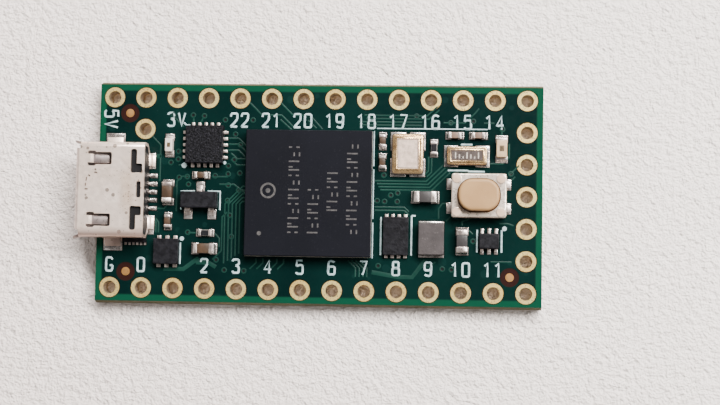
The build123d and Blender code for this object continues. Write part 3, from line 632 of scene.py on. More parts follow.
# painted shade: inside the shell the steel is darkened
above_roof = ramp_mm(tree, place_along(tree, place, "Z"), ROOF_INSIDE - 0.16, ROOF_INSIDE)
beside = ramp_mm(tree, sideways, WALL_INSIDE, WALL_INSIDE + 0.15)
behind = ramp_mm(tree, along, BACK_INSIDE, BACK_INSIDE + 0.10)
outside = calculate(tree, "MAXIMUM", calculate(tree, "MAXIMUM", above_roof, beside), behind)
tint(tree, calculate(tree, "SUBTRACT", 1.0, outside), (0.20, 0.165, 0.155))
print("inner face of the socket's roof at", round(ROOF_INSIDE, 2), "mm")

# %% [markdown]
# The other metals are small: contact tails, the crystals' lids and their gold seams, the
# button's cover and its spring, and the inductor's copper wire. Each is the same function
# with its own tint, gloss and grain.

# %% Other metal finishes
tail_finish = finish(
    "contact_tails", (0.62, 0.54, 0.50), (0.28, 0.24, 0.22), 0.22, grain=6000, bump=0.4, depth=0.02,
    patch=2400, contrast=1.6, metallic=0.95
)
spring_finish = finish(
    "spring_steel", (0.78, 0.77, 0.75), (0.55, 0.53, 0.50), 0.25, grain=9000, patch=900,
    metallic=1.0, rubs=0.3
)
cover_finish = finish(
    "button_cover_steel", (0.96, 0.82, 0.70), (0.76, 0.62, 0.50), 0.30, grain=4000, bump=0.2,
    depth=0.012, patch=450, contrast=1.2, metallic=0.7, rubs=0.5, rub_colour=(0.92, 0.86, 0.80)
)
lid_finish = finish(
    "main_crystal_lid_metal", (0.68, 0.52, 0.42), (0.47, 0.35, 0.28), 0.45, grain=9000, bump=0.6,
    depth=0.03, patch=2600, contrast=1.5, metallic=0.6, specks=0.35,
    speck_colour=(0.30, 0.22, 0.18), speck_scale=7000
)
clock_lid_finish = finish(
    "clock_crystal_lid_metal", (0.100, 0.079, 0.071), (0.055, 0.043, 0.039), 0.42, grain=8000,
    bump=0.4, depth=0.02, patch=1800, metallic=0.8, rubs=0.4, rub_colour=(0.7, 0.66, 0.6)
)
seam_finish = finish(
    "gold_seam", (0.84, 0.58, 0.30), (0.46, 0.28, 0.13), 0.26, grain=7000, bump=0.3, patch=1500,
    metallic=0.9
)
copper_finish = finish(
    "copper_wire", (0.82, 0.42, 0.24), (0.55, 0.26, 0.14), 0.3, grain=9000, metallic=1.0
)
print("finishes so far:", [material.name for material in bpy.data.materials])

# %% [markdown]
# ## Plastics and ceramics
#
# The large chip's cap is dark blue-grey moulding compound with a fine matte grain. The
# small square chip beside it is far coarser, its glitter painted as light specks. Capacitors
# are fired brown ceramic, resistors white ceramic under a black film, and the LEDs cream resin.

# %% Chip mouldings
mould_finish = finish(
    "mould_compound", (0.0054, 0.0056, 0.0086), (0.0040, 0.0042, 0.0064), 0.50, grain=9000,
    bump=0.35, depth=0.012, patch=260, shine=0.07, specks=0.30, speck_colour=(0.014, 0.014, 0.018),
    speck_scale=5000
)
# the light specks on this moulding are painted glints
rough_mould_finish = finish(
    "coarse_mould_compound", (0.0085, 0.0082, 0.0105), (0.0010, 0.0010, 0.0015), 0.42, grain=7000,
    bump=0.9, depth=0.05, patch=6500, contrast=3.0, shine=0.09, specks=0.6,
    speck_colour=(0.036, 0.034, 0.042), speck_scale=8000
)
small_mould_finish = finish(
    "small_chip_mould", (0.0100, 0.0096, 0.0120), (0.0034, 0.0032, 0.0044), 0.45, grain=7000,
    bump=0.6, depth=0.03, patch=2500, contrast=1.8, shine=0.12
)
substrate_finish = finish(
    "chip_carrier", (0.30, 0.28, 0.25), (0.14, 0.14, 0.13), 0.4, grain=8000, patch=900
)
silicon_finish = finish(
    "silicon", (0.16, 0.16, 0.18), (0.09, 0.09, 0.10), 0.2, patch=2000, metallic=0.6
)
black_finish = finish(
    "black_plastic", (0.009, 0.009, 0.010), (0.004, 0.004, 0.0045), 0.45, bump=0.3, depth=0.02,
    shine=0.15
)
print("finishes so far:", len(bpy.data.materials))

# %% [markdown]
# The small parts are fired ceramic, pressed ferrite and resin, with a gloss between that of
# the mask and that of the mouldings.

# %% Finishes of the small parts
capacitor_finish = finish(
    "brown_ceramic", (0.064, 0.037, 0.022), (0.036, 0.022, 0.013), 0.42, grain=6000, bump=0.4,
    depth=0.02, patch=1600, contrast=1.3, shine=0.25
)
bead_finish = finish(
    "grey_ferrite", (0.050, 0.045, 0.044), (0.028, 0.025, 0.025), 0.4, grain=7000, bump=0.4,
    shine=0.25
)
ferrite_finish = finish(
    "inductor_moulding", (0.056, 0.047, 0.047), (0.036, 0.030, 0.030), 0.45, grain=5000, bump=0.5,
    depth=0.025, patch=1100, contrast=1.3, shine=0.25, specks=0.3, speck_colour=(0.13, 0.115, 0.11),
    speck_scale=5000
)
ceramic_finish = finish(
    "white_ceramic", (0.72, 0.68, 0.62), (0.52, 0.47, 0.42), 0.4, grain=7000, bump=0.3
)
film_finish = finish(
    "resistor_film", (0.012, 0.012, 0.014), (0.005, 0.005, 0.006), 0.35, grain=7000, bump=0.4,
    shine=0.2
)
base_finish = finish(
    "crystal_ceramic", (0.070, 0.048, 0.036), (0.035, 0.024, 0.018), 0.5, grain=6000, bump=0.4,
    shine=0.2
)
quartz_finish = finish("quartz", (0.80, 0.80, 0.78), (0.65, 0.65, 0.64), 0.08, patch=2500)
led_base_finish = finish(
    "led_base", (0.60, 0.48, 0.36), (0.42, 0.33, 0.23), 0.45, grain=6000, bump=0.3
)
led_lens_finish = finish(
    "led_resin", (0.58, 0.42, 0.26), (0.44, 0.30, 0.17), 0.28, grain=3000, patch=1800, shine=0.4
)
print("finishes so far:", len(bpy.data.materials))

# %% [markdown]
# Some pieces of one CAD node differ. The left LED is whiter than the right one, two of the
# capacitors look paler than the rest, and painted shade darkens the side of the plunger below its top.
# Each could have a material of its own, but a mask on the place keeps them one piece.

# %% Finishes that change with the place
for surface in (led_base_finish, led_lens_finish):
    tree, place = parts_of(surface)
    left_of_middle = ramp_mm(tree, place_along(tree, place, "X"), -0.5, 0.5, 0.8, 0.0)
    tint(tree, left_of_middle, (0.62, 0.56, 0.52))

plunger_finish = finish(
    "tan_plastic", (0.385, 0.225, 0.098), (0.32, 0.180, 0.075), 0.42, grain=5000, bump=0.25,
    depth=0.015, patch=420, shine=0.3, rubs=0.3, rub_colour=(0.56, 0.38, 0.22), specks=0.2,
    speck_colour=(0.26, 0.14, 0.07), speck_scale=1800
)
tree, place = parts_of(plunger_finish)
level = place_along(tree, place, "Z")
PLUNGER_TOP = box_mm("switch_plunger")[1].z
# painted shade on the plunger's side, below its rim
painted_shade_on_side = ramp_mm(tree, level, PLUNGER_TOP - 0.30, PLUNGER_TOP - 0.10, 1.0, 0.0)
tint(tree, painted_shade_on_side, (0.13, 0.055, 0.018))

PALE_BATCH_X = 9.5  # the two capacitors beyond this are of a paler ceramic
tree, place = parts_of(capacitor_finish)
pale = ramp_mm(tree, place_along(tree, place, "X"), PALE_BATCH_X, PALE_BATCH_X + 0.05, 0.0, 0.75)
tint(tree, pale, (0.21, 0.135, 0.10))
print("finishes:", len(bpy.data.materials))

# %% [markdown]
# Every CAD node now gets its finish. They could be assigned by hand one after another, but a
# list of which nodes share a finish is quicker to read and to change. The pieces that stand
# in for a node take up its finish.

# %% Give every CAD node its finish
SHARED_FINISHES = (
    (laminate_finish, "board_laminate"),
    (mask_finish, "solder_mask_top solder_mask_bottom"),
    (gold_finish, "barrel_plating switch_contacts"),
    (dot_finish, "fiducial_dots"),
    (tin_finish,
     "solder_pads helper_chip_leads regulator_pads power_switch_leads "
     "flash_chip_pads logic_chip_leads guard_chip_pads inductor_terminals "
     "capacitor_ends bead_ends resistor_ends led_ends switch_terminals"),
    (steel_finish, "usb_shell"),
    (black_finish, "usb_insulator switch_base"),
    (tail_finish, "usb_contacts"),
    (substrate_finish, "mcu_substrate"),
    (mould_finish, "mcu_mould_cap"),
    (silicon_finish, "mcu_die chip_dies"),
    (solder_finish, "mcu_solder_balls"),
    (rough_mould_finish, "helper_chip_body"),
    (small_mould_finish,
     "regulator_body power_switch_body flash_chip_body logic_chip_body "
     "guard_chip_body"),
    (base_finish, "main_crystal_base clock_crystal_base"),
    (seam_finish, "main_crystal_ring clock_crystal_ring"),
    (lid_finish, "main_crystal_lid"),
    (quartz_finish, "main_crystal_quartz clock_crystal_quartz"),
    (clock_lid_finish, "clock_crystal_lid"),
    (ferrite_finish, "inductor_body"),
    (copper_finish, "inductor_coil"),
    (capacitor_finish, "capacitor_bodies"),
    (bead_finish, "bead_bodies"),
    (ceramic_finish, "resistor_bodies"),
    (film_finish, "resistor_films"),
    (led_base_finish, "led_bases"),
    (led_lens_finish, "led_lenses"),
    (spring_finish, "switch_dome"),
    (plunger_finish, "switch_plunger"),
    (cover_finish, "switch_cover"),
)
NODE_FINISHES = {node: surface for surface, nodes in SHARED_FINISHES for node in nodes.split()}
for node, surface in NODE_FINISHES.items():
    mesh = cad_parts[node].data
    mesh.materials.clear()
    mesh.materials.append(surface)
print("nodes without a finish:", sorted(set(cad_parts) - set(NODE_FINISHES)))

# %% [markdown]
# ## Rounded edges
#
# No real part has a perfectly sharp edge. A moulded cap or a bent sheet has a small round
# there, and that round catches a line of light that tells the eye where one face ends. The
# CAD faces are kept and only their edges are bevelled: a copy of the node is merged, its
# flat faces are made whole again, and a Bevel modifier rounds every edge that is sharp.


# %% Rounding a copy of a CAD node
SHARP_ANGLE = radians(40)  # edges that turn more than this are bevelled


def rounded(node, width, body="board", segments=2):
    """A copy of a CAD node with bevelled edges that is shown in the node's place."""
    piece = merged_copy(node, node + "_rounded")
    bpy.ops.object.mode_set(mode="EDIT")
    bpy.ops.mesh.select_all(action="SELECT")
    bpy.ops.mesh.dissolve_limited(angle_limit=radians(2))
    bpy.ops.object.mode_set(mode="OBJECT")
    apply_modifier(
        piece, "BEVEL", width=width * MM, segments=segments, limit_method="ANGLE",
        angle_limit=SHARP_ANGLE, use_clamp_overlap=True
    )
    make_active(piece)
    bpy.ops.object.shade_smooth_by_angle(angle=SHARP_ANGLE)
    apply_modifier(piece, "WEIGHTED_NORMAL", keep_sharp=True, weight=100)
    settle(piece, node + "_rounded", NODE_FINISHES[node], body)
    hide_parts(node)


EDGE_ROUNDS = {
    "usb_shell": 0.05, "usb_insulator": 0.05, "usb_contacts": 0.02, "mcu_substrate": 0.03,
    "mcu_mould_cap": 0.06, "helper_chip_body": 0.05, "helper_chip_leads": 0.03, "regulator_body": 0.04,
    "regulator_pads": 0.02, "power_switch_body": 0.05, "power_switch_leads": 0.04,
    "flash_chip_body": 0.03, "flash_chip_pads": 0.02, "logic_chip_body": 0.04, "logic_chip_leads": 0.03,
    "guard_chip_body": 0.03, "capacitor_bodies": 0.03, "capacitor_ends": 0.05, "bead_bodies": 0.03,
    "bead_ends": 0.05, "resistor_bodies": 0.02, "resistor_ends": 0.03, "led_bases": 0.03,
    "led_lenses": 0.06, "led_ends": 0.03, "main_crystal_base": 0.04, "main_crystal_ring": 0.018,
    "main_crystal_lid": 0.015, "clock_crystal_base": 0.04, "clock_crystal_ring": 0.018,
    "clock_crystal_lid": 0.015, "inductor_body": 0.07, "inductor_terminals": 0.02, "switch_base": 0.04,
    "switch_terminals": 0.03, "switch_cover": 0.05,
}
for node, width in EDGE_ROUNDS.items():
    rounded(node, width)
rounded("switch_plunger", 0.16, body="button", segments=4)
print("rounded pieces:", len(EDGE_ROUNDS) + 1)

# %% [markdown]
# Under the plunger sits a thin snap dome. It is the button's spring: pressed down at its
# middle it flattens, and its rim stays on the contacts. A merged copy of the dome takes its
# place.

# %% The snap dome
dome = merged_copy("switch_dome", "flexing_dome")
bpy.ops.object.shade_smooth_by_angle(angle=radians(30))
settle(dome, "flexing_dome", spring_finish)
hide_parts("switch_dome")
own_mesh(dome)

# %% [markdown]
# ## Solder
#
# Every land carries a film of solder that has pulled itself into a low cushion while it
# was molten. One cushion is modelled: a block whose top face is inset and lifted, with its
# corners rounded. It is copied to each land and stretched to the land's size.

# %% Solder cushions on the lands
CUSHION_HEIGHT = 0.035
LAND_SHARE = 0.97  # how much of a land the solder covers each way
bpy.ops.mesh.primitive_cube_add(size=MM, location=(0, 0, 0))
cushion = bpy.context.object
make_active(cushion)
bpy.ops.object.mode_set(mode="EDIT")
bpy.ops.mesh.select_all(action="SELECT")
bpy.ops.transform.resize(value=(1, 1, CUSHION_HEIGHT), center_override=(0, 0, 0))
bpy.ops.object.mode_set(mode="OBJECT")
step_top(cushion, (0.16, 0.5 * CUSHION_HEIGHT), (0.14, 0.2 * CUSHION_HEIGHT))
apply_modifier(
    cushion, "BEVEL", width=0.08 * MM, segments=2, affect="VERTICES", use_clamp_overlap=True
)
bpy.ops.object.shade_smooth_by_angle(angle=radians(60))

cushions = []
for low, high in land_boxes:
    size = high - low
    spot = ((low.x + high.x) / 2, (low.y + high.y) / 2, BOARD_TOP + CUSHION_HEIGHT / 2)
    cushions.append((spot, (size.x * LAND_SHARE, size.y * LAND_SHARE, 1)))
settle_copies(cushion, cushions, "solder_cushions", solder_finish)
print("solder cushions:", len(cushions))

# %% [markdown]
# At the end of a capacitor, resistor or LED the solder climbs the metal end and runs down
# to the land in a hollow slope. The slope is a block whose outer top edge is cut back by a
# wide bevel with a hollow profile, and whose low end is drawn in at the sides. Which way it
# faces comes from the frame: each metal end has its solder on the side away from the part.


# %% Solder slopes at the parts' ends
def solder_slope():
    """A unit slope: high against the part at x = 0, low at x = 1, one unit wide."""
    bpy.ops.mesh.primitive_cube_add(size=MM, location=(0.5 * MM, 0, 0.5 * MM))
    slope = bpy.context.object
    bpy.ops.object.transform_apply(location=True, rotation=False, scale=False)
    bpy.ops.object.mode_set(mode="EDIT")
    bpy.ops.mesh.select_mode(type="EDGE")
    bpy.ops.mesh.select_all(action="DESELECT")
    bpy.ops.object.mode_set(mode="OBJECT")
    corners = slope.data.vertices
    for edge in slope.data.edges:
        edge.select = all(corners[i].co.x > 0.9 * MM and corners[i].co.z > 0.9 * MM for i in edge.vertices)
    bpy.ops.object.mode_set(mode="EDIT")
    bpy.ops.mesh.bevel(offset=0.86 * MM, segments=5, profile=0.22, affect="EDGES")
    bpy.ops.object.mode_set(mode="OBJECT")
    select_faces(slope, lambda face: face.normal.x > 0.95 and face.center.x > 0.95 * MM)
    bpy.ops.transform.resize(value=(1, 0.72, 1), center_override=(MM, 0, 0))
    bpy.ops.object.mode_set(mode="OBJECT")
    return slope


SLOPE_LENGTH = 0.17
SLOPE_WIDTH, SLOPE_HEIGHT = 1.02, 0.62  # as shares of the metal end's own width and height
slope = solder_slope()
bpy.ops.object.shade_smooth_by_angle(angle=radians(60))
slopes = []
for ends_node, bodies_node in [
    ("capacitor_ends", "capacitor_bodies"),
    ("bead_ends", "bead_bodies"),
    ("resistor_ends", "resistor_bodies"),
    ("led_ends", "led_bases"),
]:
    body_centres = [centre(box) for box in lump_boxes(bodies_node)]
    for box in lump_boxes(ends_node):
        end_centre = centre(box)
        nearest = min(body_centres, key=lambda c: (c - end_centre).length)
        away = end_centre - nearest
        size = box[1] - box[0]
        upright = abs(away.y) > abs(away.x)
        sign = 1 if (away.y if upright else away.x) > 0 else -1
        across = size.x if upright else size.y
        outer = box[1] if sign > 0 else box[0]
        spot = (end_centre.x, outer.y, BOARD_TOP) if upright else (outer.x, end_centre.y, BOARD_TOP)
        turn = (pi / 2 if upright else 0.0) + (0.0 if sign > 0 else pi)
        slopes.append((spot, (SLOPE_LENGTH, across * SLOPE_WIDTH, size.z * SLOPE_HEIGHT), turn))
settle_copies(slope, slopes, "solder_slopes", solder_finish)
print("solder slopes:", len(slopes))

# %% [markdown]
# The three alignment dots are etched copper, so their edges are eaten back and they end up
# smaller than drawn. Each is a disc whose top is inset and lifted a little, which leaves a
# soft slope round it. The discs stand in for the sharp ones of the CAD part.

# %% Alignment dots
DOT_EDGE_LOST = 0.05
drawn_dots = lump_boxes("fiducial_dots")
drawn_low, drawn_high = drawn_dots[0]
etched_radius = (drawn_high.x - drawn_low.x) / 2 - DOT_EDGE_LOST
foil = drawn_high.z - drawn_low.z
etched_dot = disc(etched_radius, 0.8 * foil, 40)
step_top(etched_dot, (0.05, 0.1 * foil))
bpy.ops.object.shade_smooth_by_angle(angle=radians(50))
dot_places = [(centre(box),) for box in drawn_dots]
etched_dots = settle_copies(etched_dot, dot_places, "etched_dots", dot_finish)
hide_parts("fiducial_dots")
print("alignment dots:", len(drawn_dots), "each", round(2 * etched_radius, 2), "mm across")

# %% [markdown]
# ## Printed lines and numbers
#
# The white print is a thin layer of ink laid down in strokes of one width. Blender's own
# text could be used, but a stroke pen draws narrower, rounder figures than a font does, so
# each figure here is a few pen strokes in a box one unit wide and one unit high. A curve
# with a round section follows the strokes, becomes a mesh, and is then pressed flat.

# %% The pen's figures
PEN_WIDTH = 0.16
FIGURE_HEIGHT = 1.06  # between the middles of the top and bottom strokes
FIGURE_WIDTH = 0.52
FIGURE_STEP = 0.86  # from one figure to the next in a number

# each figure: round strokes first, then straight ones
NINE_BACK = [(0.95, 0.9), (0.7, 1), (0.05, 1), (0, 0.4), (0, 0), (0.5, 0), (1, 0), (1, 0.3), (1, 0.58),
             (0.5, 0.58), (0.1, 0.58), (0.02, 0.35)]
FIGURES = {
    "0": ([[(0.5, 1), (0.02, 1), (0, 0.75), (0, 0.25), (0.02, 0), (0.5, 0), (0.98, 0), (1, 0.25),
            (1, 0.75), (0.98, 1), (0.5, 1)]], []),
    "1": ([], [[(0.12, 0.80), (0.55, 1), (0.55, 0)]]),
    "2": ([[(0, 0.76), (0.02, 1), (0.5, 1), (1, 1), (1, 0.70), (0.95, 0.5), (0, 0)]], [[(0, 0), (1, 0)]]),
    "3": ([[(0, 0.86), (0.1, 1), (0.5, 1), (1, 1), (1, 0.56), (0.45, 0.54)],
           [(0.45, 0.54), (1, 0.52), (1, 0), (0.5, 0), (0.1, 0), (0, 0.14)]], []),
    "4": ([], [[(0.75, 0), (0.75, 1), (0, 0.30), (1.05, 0.30)]]),
    "5": ([[(0.05, 0.56), (0.3, 0.66), (1, 0.66), (1, 0.33), (1, 0), (0.5, 0), (0.12, 0), (0, 0.12)]],
          [[(0.95, 1), (0.1, 1), (0.05, 0.56)]]),
    "6": ([NINE_BACK], []),
    "7": ([], [[(0, 1), (1, 1), (0.35, 0)]]),
    "8": ([[(0.5, 0.55), (0.08, 0.55), (0.08, 0.78), (0.08, 1), (0.5, 1), (0.92, 1), (0.92, 0.78),
            (0.92, 0.55), (0.5, 0.55)],
           [(0.5, 0.55), (0, 0.55), (0, 0.27), (0, 0), (0.5, 0), (1, 0), (1, 0.27), (1, 0.55),
            (0.5, 0.55)]], []),
    "9": ([[(1 - x, 1 - y) for x, y in NINE_BACK]], []),
    "G": ([[(0.95, 0.84), (0.85, 1), (0.5, 1), (0, 1), (0, 0.5), (0, 0), (0.5, 0), (1, 0), (1, 0.42)]],
          [[(1, 0.42), (0.6, 0.42)]]),
    "V": ([], [[(0, 1), (0.5, 0), (1, 1)]]),
}


def number_strokes(text, x, y, turned=False):
    """Round and straight strokes of a number centred on (x, y), in millimetres."""
    round_strokes, straight_strokes = [], []
    first = -(len(text) - 1) * FIGURE_STEP / 2
    for place, figure in enumerate(text):
        for strokes, found in zip(FIGURES[figure], (round_strokes, straight_strokes)):
            for stroke in strokes:
                points = []
                for u, v in stroke:
                    across = first + place * FIGURE_STEP + (u - 0.5) * FIGURE_WIDTH
                    up = (v - 0.5) * FIGURE_HEIGHT
                    points.append((x + up, y - across) if turned else (x + across, y + up))
                found.append(points)
    return round_strokes, straight_strokes


print("figures:", " ".join(FIGURES))

# %% [markdown]
# Print, tracks and engraved strokes are all thin raised lines on a flat face. A box for each
# stroke would have square ends and broken corners, so a curve with a round section follows
# the path and is made a mesh, and one resize along Z presses it down to its thickness.


# %% Lines laid on a surface
def lay_lines(name, material, width, thickness, straight=(), curved=(), height=BOARD_TOP):
    """Flat raised lines along paths of (x, y) points, all on one level."""
    pen = bpy.data.curves.new(name, "CURVE")
    pen.dimensions = "3D"
    pen.bevel_depth = width / 2 * MM
    pen.bevel_resolution = 1
    pen.resolution_u = 5
    pen.use_fill_caps = True
    for paths, kind in ((straight, "POLY"), (curved, "NURBS")):
        for path in paths:
            spline = pen.splines.new(kind)
            spline.points.add(len(path) - 1)
            for point, (x, y) in zip(spline.points, path):
                point.co = (x * MM, y * MM, 0, 1)
            if kind == "NURBS":
                spline.order_u = 3
                spline.use_endpoint_u = True
    line = bpy.data.objects.new(name, pen)
    bpy.context.scene.collection.objects.link(line)
    make_active(line)
    bpy.ops.object.convert(target="MESH")
    bpy.ops.object.mode_set(mode="EDIT")
    bpy.ops.mesh.select_all(action="SELECT")
    bpy.ops.transform.resize(value=(1, 1, 2 * thickness / width), center_override=(0, 0, 0))
    bpy.ops.object.mode_set(mode="OBJECT")
    bpy.ops.object.shade_smooth_by_angle(angle=radians(50))
    line.location.z = height * MM
    settle(line, name, material)


ink_finish = finish(
    "white_ink", (0.44, 0.56, 0.57), (0.26, 0.38, 0.39), 0.55, grain=9000, bump=0.4, depth=0.02,
    patch=2600, contrast=1.6
)
INK_THICKNESS = 0.021  # more than a track is high, so the ink covers the tracks it crosses

# %% [markdown]
# The numbers stand in two rows just inside the rows of holes. Their places come from the
# holes themselves: each number is set beside its own hole, so the row keeps the holes'
# spacing of a tenth of an inch.

# %% Pin numbers
hole_xs = sorted({round(centre(box).x, 2) for box in hole_boxes})
PITCH = hole_xs[1] - hole_xs[0]
FIRST_HOLE_X = hole_xs[0]
TOP_NUMBER_Y, TOP_NUMBER_SHIFT = 5.87, -0.05
BOTTOM_NUMBER_Y, BOTTOM_NUMBER_SHIFT = -5.80, -0.06

labels = []
for place, text in enumerate(["3V", "", "22", "21", "20", "19", "18", "17", "16", "15", "14"]):
    labels.append((text, FIRST_HOLE_X + (place + 2) * PITCH + TOP_NUMBER_SHIFT, TOP_NUMBER_Y))
for place, text in enumerate(["G", "0", "", "2", "3", "4", "5", "6", "7", "8", "9", "10", "11"]):
    labels.append((text, FIRST_HOLE_X + place * PITCH + BOTTOM_NUMBER_SHIFT, BOTTOM_NUMBER_Y))

round_strokes, straight_strokes = [], []
for text, x, y in labels:
    rounds, straights = number_strokes(text, x, y)
    round_strokes += rounds
    straight_strokes += straights
rounds, straights = number_strokes("5V", FIRST_HOLE_X - 0.24, TOP_NUMBER_Y, turned=True)
round_strokes += rounds
straight_strokes += straights
lay_lines("pin_numbers", ink_finish, PEN_WIDTH, INK_THICKNESS, straight_strokes, round_strokes)
print("labels:", [text for text, x, y in labels if text], "pitch", round(PITCH, 3))

# %% [markdown]
# Besides the numbers, thin printed lines show where each chip goes, with a dot at its
# first leg. A dot could be a thick short stroke, but a low disc with its top inset and
# lifted is rounder.

# %% Printed outlines and dots
outlines = [
    [(14.1, 5.63), (14.32, 5.59)],
    [(-10.93, -1.35), (-10.93, 0.13), (-9.83, 0.13)], [(-8.8, 0.13), (-7.8, 0.13), (-7.8, -1.35)],
    [(-10.9, -4.0), (-10.9, -5.7)],
    [(-10.86, 5.62), (-10.66, 5.43), (-10.34, 5.4)],
    [(5.07, -1.73), (5.07, -4.73)], [(7.49, -1.6), (7.49, -4.73)], [(7.49, -1.6), (7.8, -1.6)],
    [(12.66, -2.64), (12.66, -4.4)], [(14.58, -2.64), (14.58, -4.4)],
    [(11.3, 4.1), (12.2, 4.1)], [(10.3, 2.04), (11.85, 2.04), (11.95, 1.97), (13.2, 1.97)],
]
thin_outlines = [
    [(4.42, 5.1), (4.42, 2.3)], [(4.42, 2.05), (4.42, -1.9)], [(4.42, -2.2), (4.42, -5.0)],
    [(4.62, 5.32), (13.4, 5.32)],
]
OUTLINE_WIDTH, THIN_OUTLINE_WIDTH = 0.13, 0.085
lay_lines("printed_outlines", ink_finish, OUTLINE_WIDTH, INK_THICKNESS, outlines)
lay_lines("thin_outlines", ink_finish, THIN_OUTLINE_WIDTH, INK_THICKNESS, thin_outlines)

DOT_RADIUS = 0.18
ink_dot = disc(DOT_RADIUS, 0.02, 20)
step_top(ink_dot, (0.03, 0.006))
dots = [
    ((x, y, BOARD_TOP + 0.006), (size, size, 1))
    for x, y, size in [(-10.78, -3.68, 0.95), (-10.75, 2.19, 1.2), (14.80, -2.52, 1.0), (-7.50, 2.43, 0.7)]
]
settle_copies(ink_dot, dots, "printed_dots", ink_finish)
print("outlines:", len(outlines) + len(thin_outlines), "dots:", len(dots))

# %% [markdown]
# ## Copper tracks under the mask
#
# A copper track lifts the mask by a few hundredths of a millimetre, and the mask over it
# is a lighter green. Most tracks run level, upright or at 45 degrees. Where several run side
# by side they are made as a bus: one path repeated at an even distance.


# %% Tracks
def bus(path, step, count):
    """The path repeated count times, each copy moved on by step."""
    return [[(x + step[0] * i, y + step[1] * i) for x, y in path] for i in range(count)]


TRACK_WIDTH = 0.13
TRACK_HEIGHT = 0.014
tracks = []
# right of the large chip, towards the crystals
tracks += bus([(4.55, 1.14), (8.6, 1.14), (10.0, 2.54), (10.0, 3.0)], (0.14, -0.24), 4)
tracks += bus([(4.55, -0.95), (6.9, -0.95), (7.25, -1.3)], (0.0, -0.26), 2)
tracks += bus([(8.4, 1.62), (8.75, 1.97), (8.75, 3.1)], (0.24, -0.1), 2)
# above the large chip, under the numbers
tracks += bus([(3.6, 6.36), (8.6, 6.36), (9.4, 7.1)], (0.16, -0.26), 2)
tracks += bus([(3.2, 5.58), (8.2, 5.58)], (0.0, 0.25), 2)
tracks += [[(9.9, 5.82), (11.6, 5.82), (12.4, 6.62), (12.7, 7.0)]]
tracks += [[(-5.6, 7.3), (-4.6, 6.3), (-3.0, 6.3), (-2.0, 5.3)]]
tracks += [[(-3.1, 7.3), (-2.1, 6.3), (-0.9, 6.3)]]
tracks += [[(-0.9, 5.9), (-0.2, 5.27)], [(-0.55, 6.1), (0.27, 5.2)], [(-3.1, 5.95), (-2.2, 5.14)]]
# left of the large chip
for place, x in enumerate((-7.4, -7.1, -6.8, -6.5, -6.2)):
    top = -0.20 - 0.30 * place
    corner = top + 0.75
    tracks.append([(-5.6, corner), (-6.0, corner), (x, corner + x + 6.0), (x, -5.60 + 0.2 * place)])
tracks += bus([(-7.3, 4.4), (-6.4, 4.4), (-5.75, 3.75)], (0.0, -0.48), 3)
tracks += bus([(-5.7, 2.75), (-6.5, 2.75), (-7.0, 3.2)], (0.0, -0.5), 2)
tracks += [[(-8.3, -5.3), (-7.6, -4.6), (-7.6, -1.9), (-7.2, -1.5)]]
# between the socket, the helper chip and the power parts
tracks += [[(-13.42, 4.52), (-12.7, 3.8), (-12.7, 0.9)]]
tracks += [[(-10.1, 6.1), (-10.1, 5.5)], [(-9.3, 6.1), (-9.55, 5.5)], [(-11.9, 6.3), (-10.9, 5.3)]]
tracks += [[(-12.85, -1.3), (-12.3, -1.3), (-11.6, -0.6)]]
tracks += bus([(-10.6, 3.3), (-11.2, 3.3)], (0.0, -0.55), 3)
tracks += [[(-10.3, 1.3), (-10.9, 1.3), (-11.3, 0.9), (-11.3, -1.5)]]
tracks += [[(-8.4, 1.3), (-7.2, 1.3)], [(-7.9, 0.7), (-6.7, 0.7), (-5.8, 0.0)]]
tracks += [[(-10.3, -3.2), (-9.4, -3.2)], [(-8.2, -3.2), (-7.8, -3.6), (-7.8, -4.3)]]
# right end
tracks += [[(14.4, -2.13), (15.05, -2.13), (15.5, -2.28)], [(13.75, -5.15), (15.4, -5.15)]]
tracks += [[(15.6, 1.6), (14.9, 0.9), (14.9, -0.6)], [(12.3, -3.0), (12.0, -2.7)]]
tracks += [[(10.4, -0.6), (9.9, -0.6), (9.6, -1.0), (9.6, -1.8)]]
tracks += [[(14.5, 5.3), (14.5, 4.9)], [(15.2, 1.8), (15.9, 2.5)]]
tracks += bus([(3.4, -5.2), (4.0, -5.8), (4.0, -6.5)], (-0.3, 0.0), 4)
tracks += bus([(-4.8, -5.15), (-4.8, -5.5), (-5.3, -6.0)], (0.55, 0.0), 5)
tracks += bus([(-12.7, -3.2), (-12.7, -2.4), (-12.95, -2.1)], (-0.22, 0.0), 2)
tracks += [[(10.6, -1.0), (10.6, -1.6), (10.2, -2.0)], [(11.45, -2.3), (11.45, -2.0), (12.0, -1.8)]]
tracks += [[(8.3, -5.6), (9.0, -5.6), (9.4, -5.2)], [(13.1, 5.82), (13.9, 5.82)]]
tracks += [[(15.1, 4.2), (15.1, 3.1), (14.6, 2.6), (13.6, 2.6)]]
lay_lines("copper_tracks", track_finish, TRACK_WIDTH, TRACK_HEIGHT, tracks)

power_tracks = [
    [(4.4, -6.1), (6.5, -6.45), (7.6, -6.45), (8.6, -5.1)],
    [(-9.6, -5.55), (-8.6, -5.55), (-8.0, -5.9)],
    [(-13.3, 2.9), (-12.6, 2.9)],
    [(-12.2, -6.1), (-10.6, -6.1), (-9.4, -5.2)],
]
POWER_WIDTH = 0.34
lay_lines("power_tracks", track_finish, POWER_WIDTH, TRACK_HEIGHT, power_tracks)
print("tracks:", len(tracks) + len(power_tracks))

# %% [markdown]
# ## Vias
#
# A via is a small plated hole that joins the tracks of the two faces. The mask runs over
# its ring and sags into the hole. One is modelled as a low disc whose top is inset three
# times and sunk in the middle, with a smaller dark disc of painted shade as its pit, and both
# are copied to each place. Real holes through the board would show no more than this from above.

# %% Vias
VIA_RADIUS = 0.23
via = disc(VIA_RADIUS, 0.03, 20)
step_top(via, (0.03, 0.006), (0.06, 0), (0.02, -0.028))
bpy.ops.object.shade_smooth_by_angle(angle=radians(35))

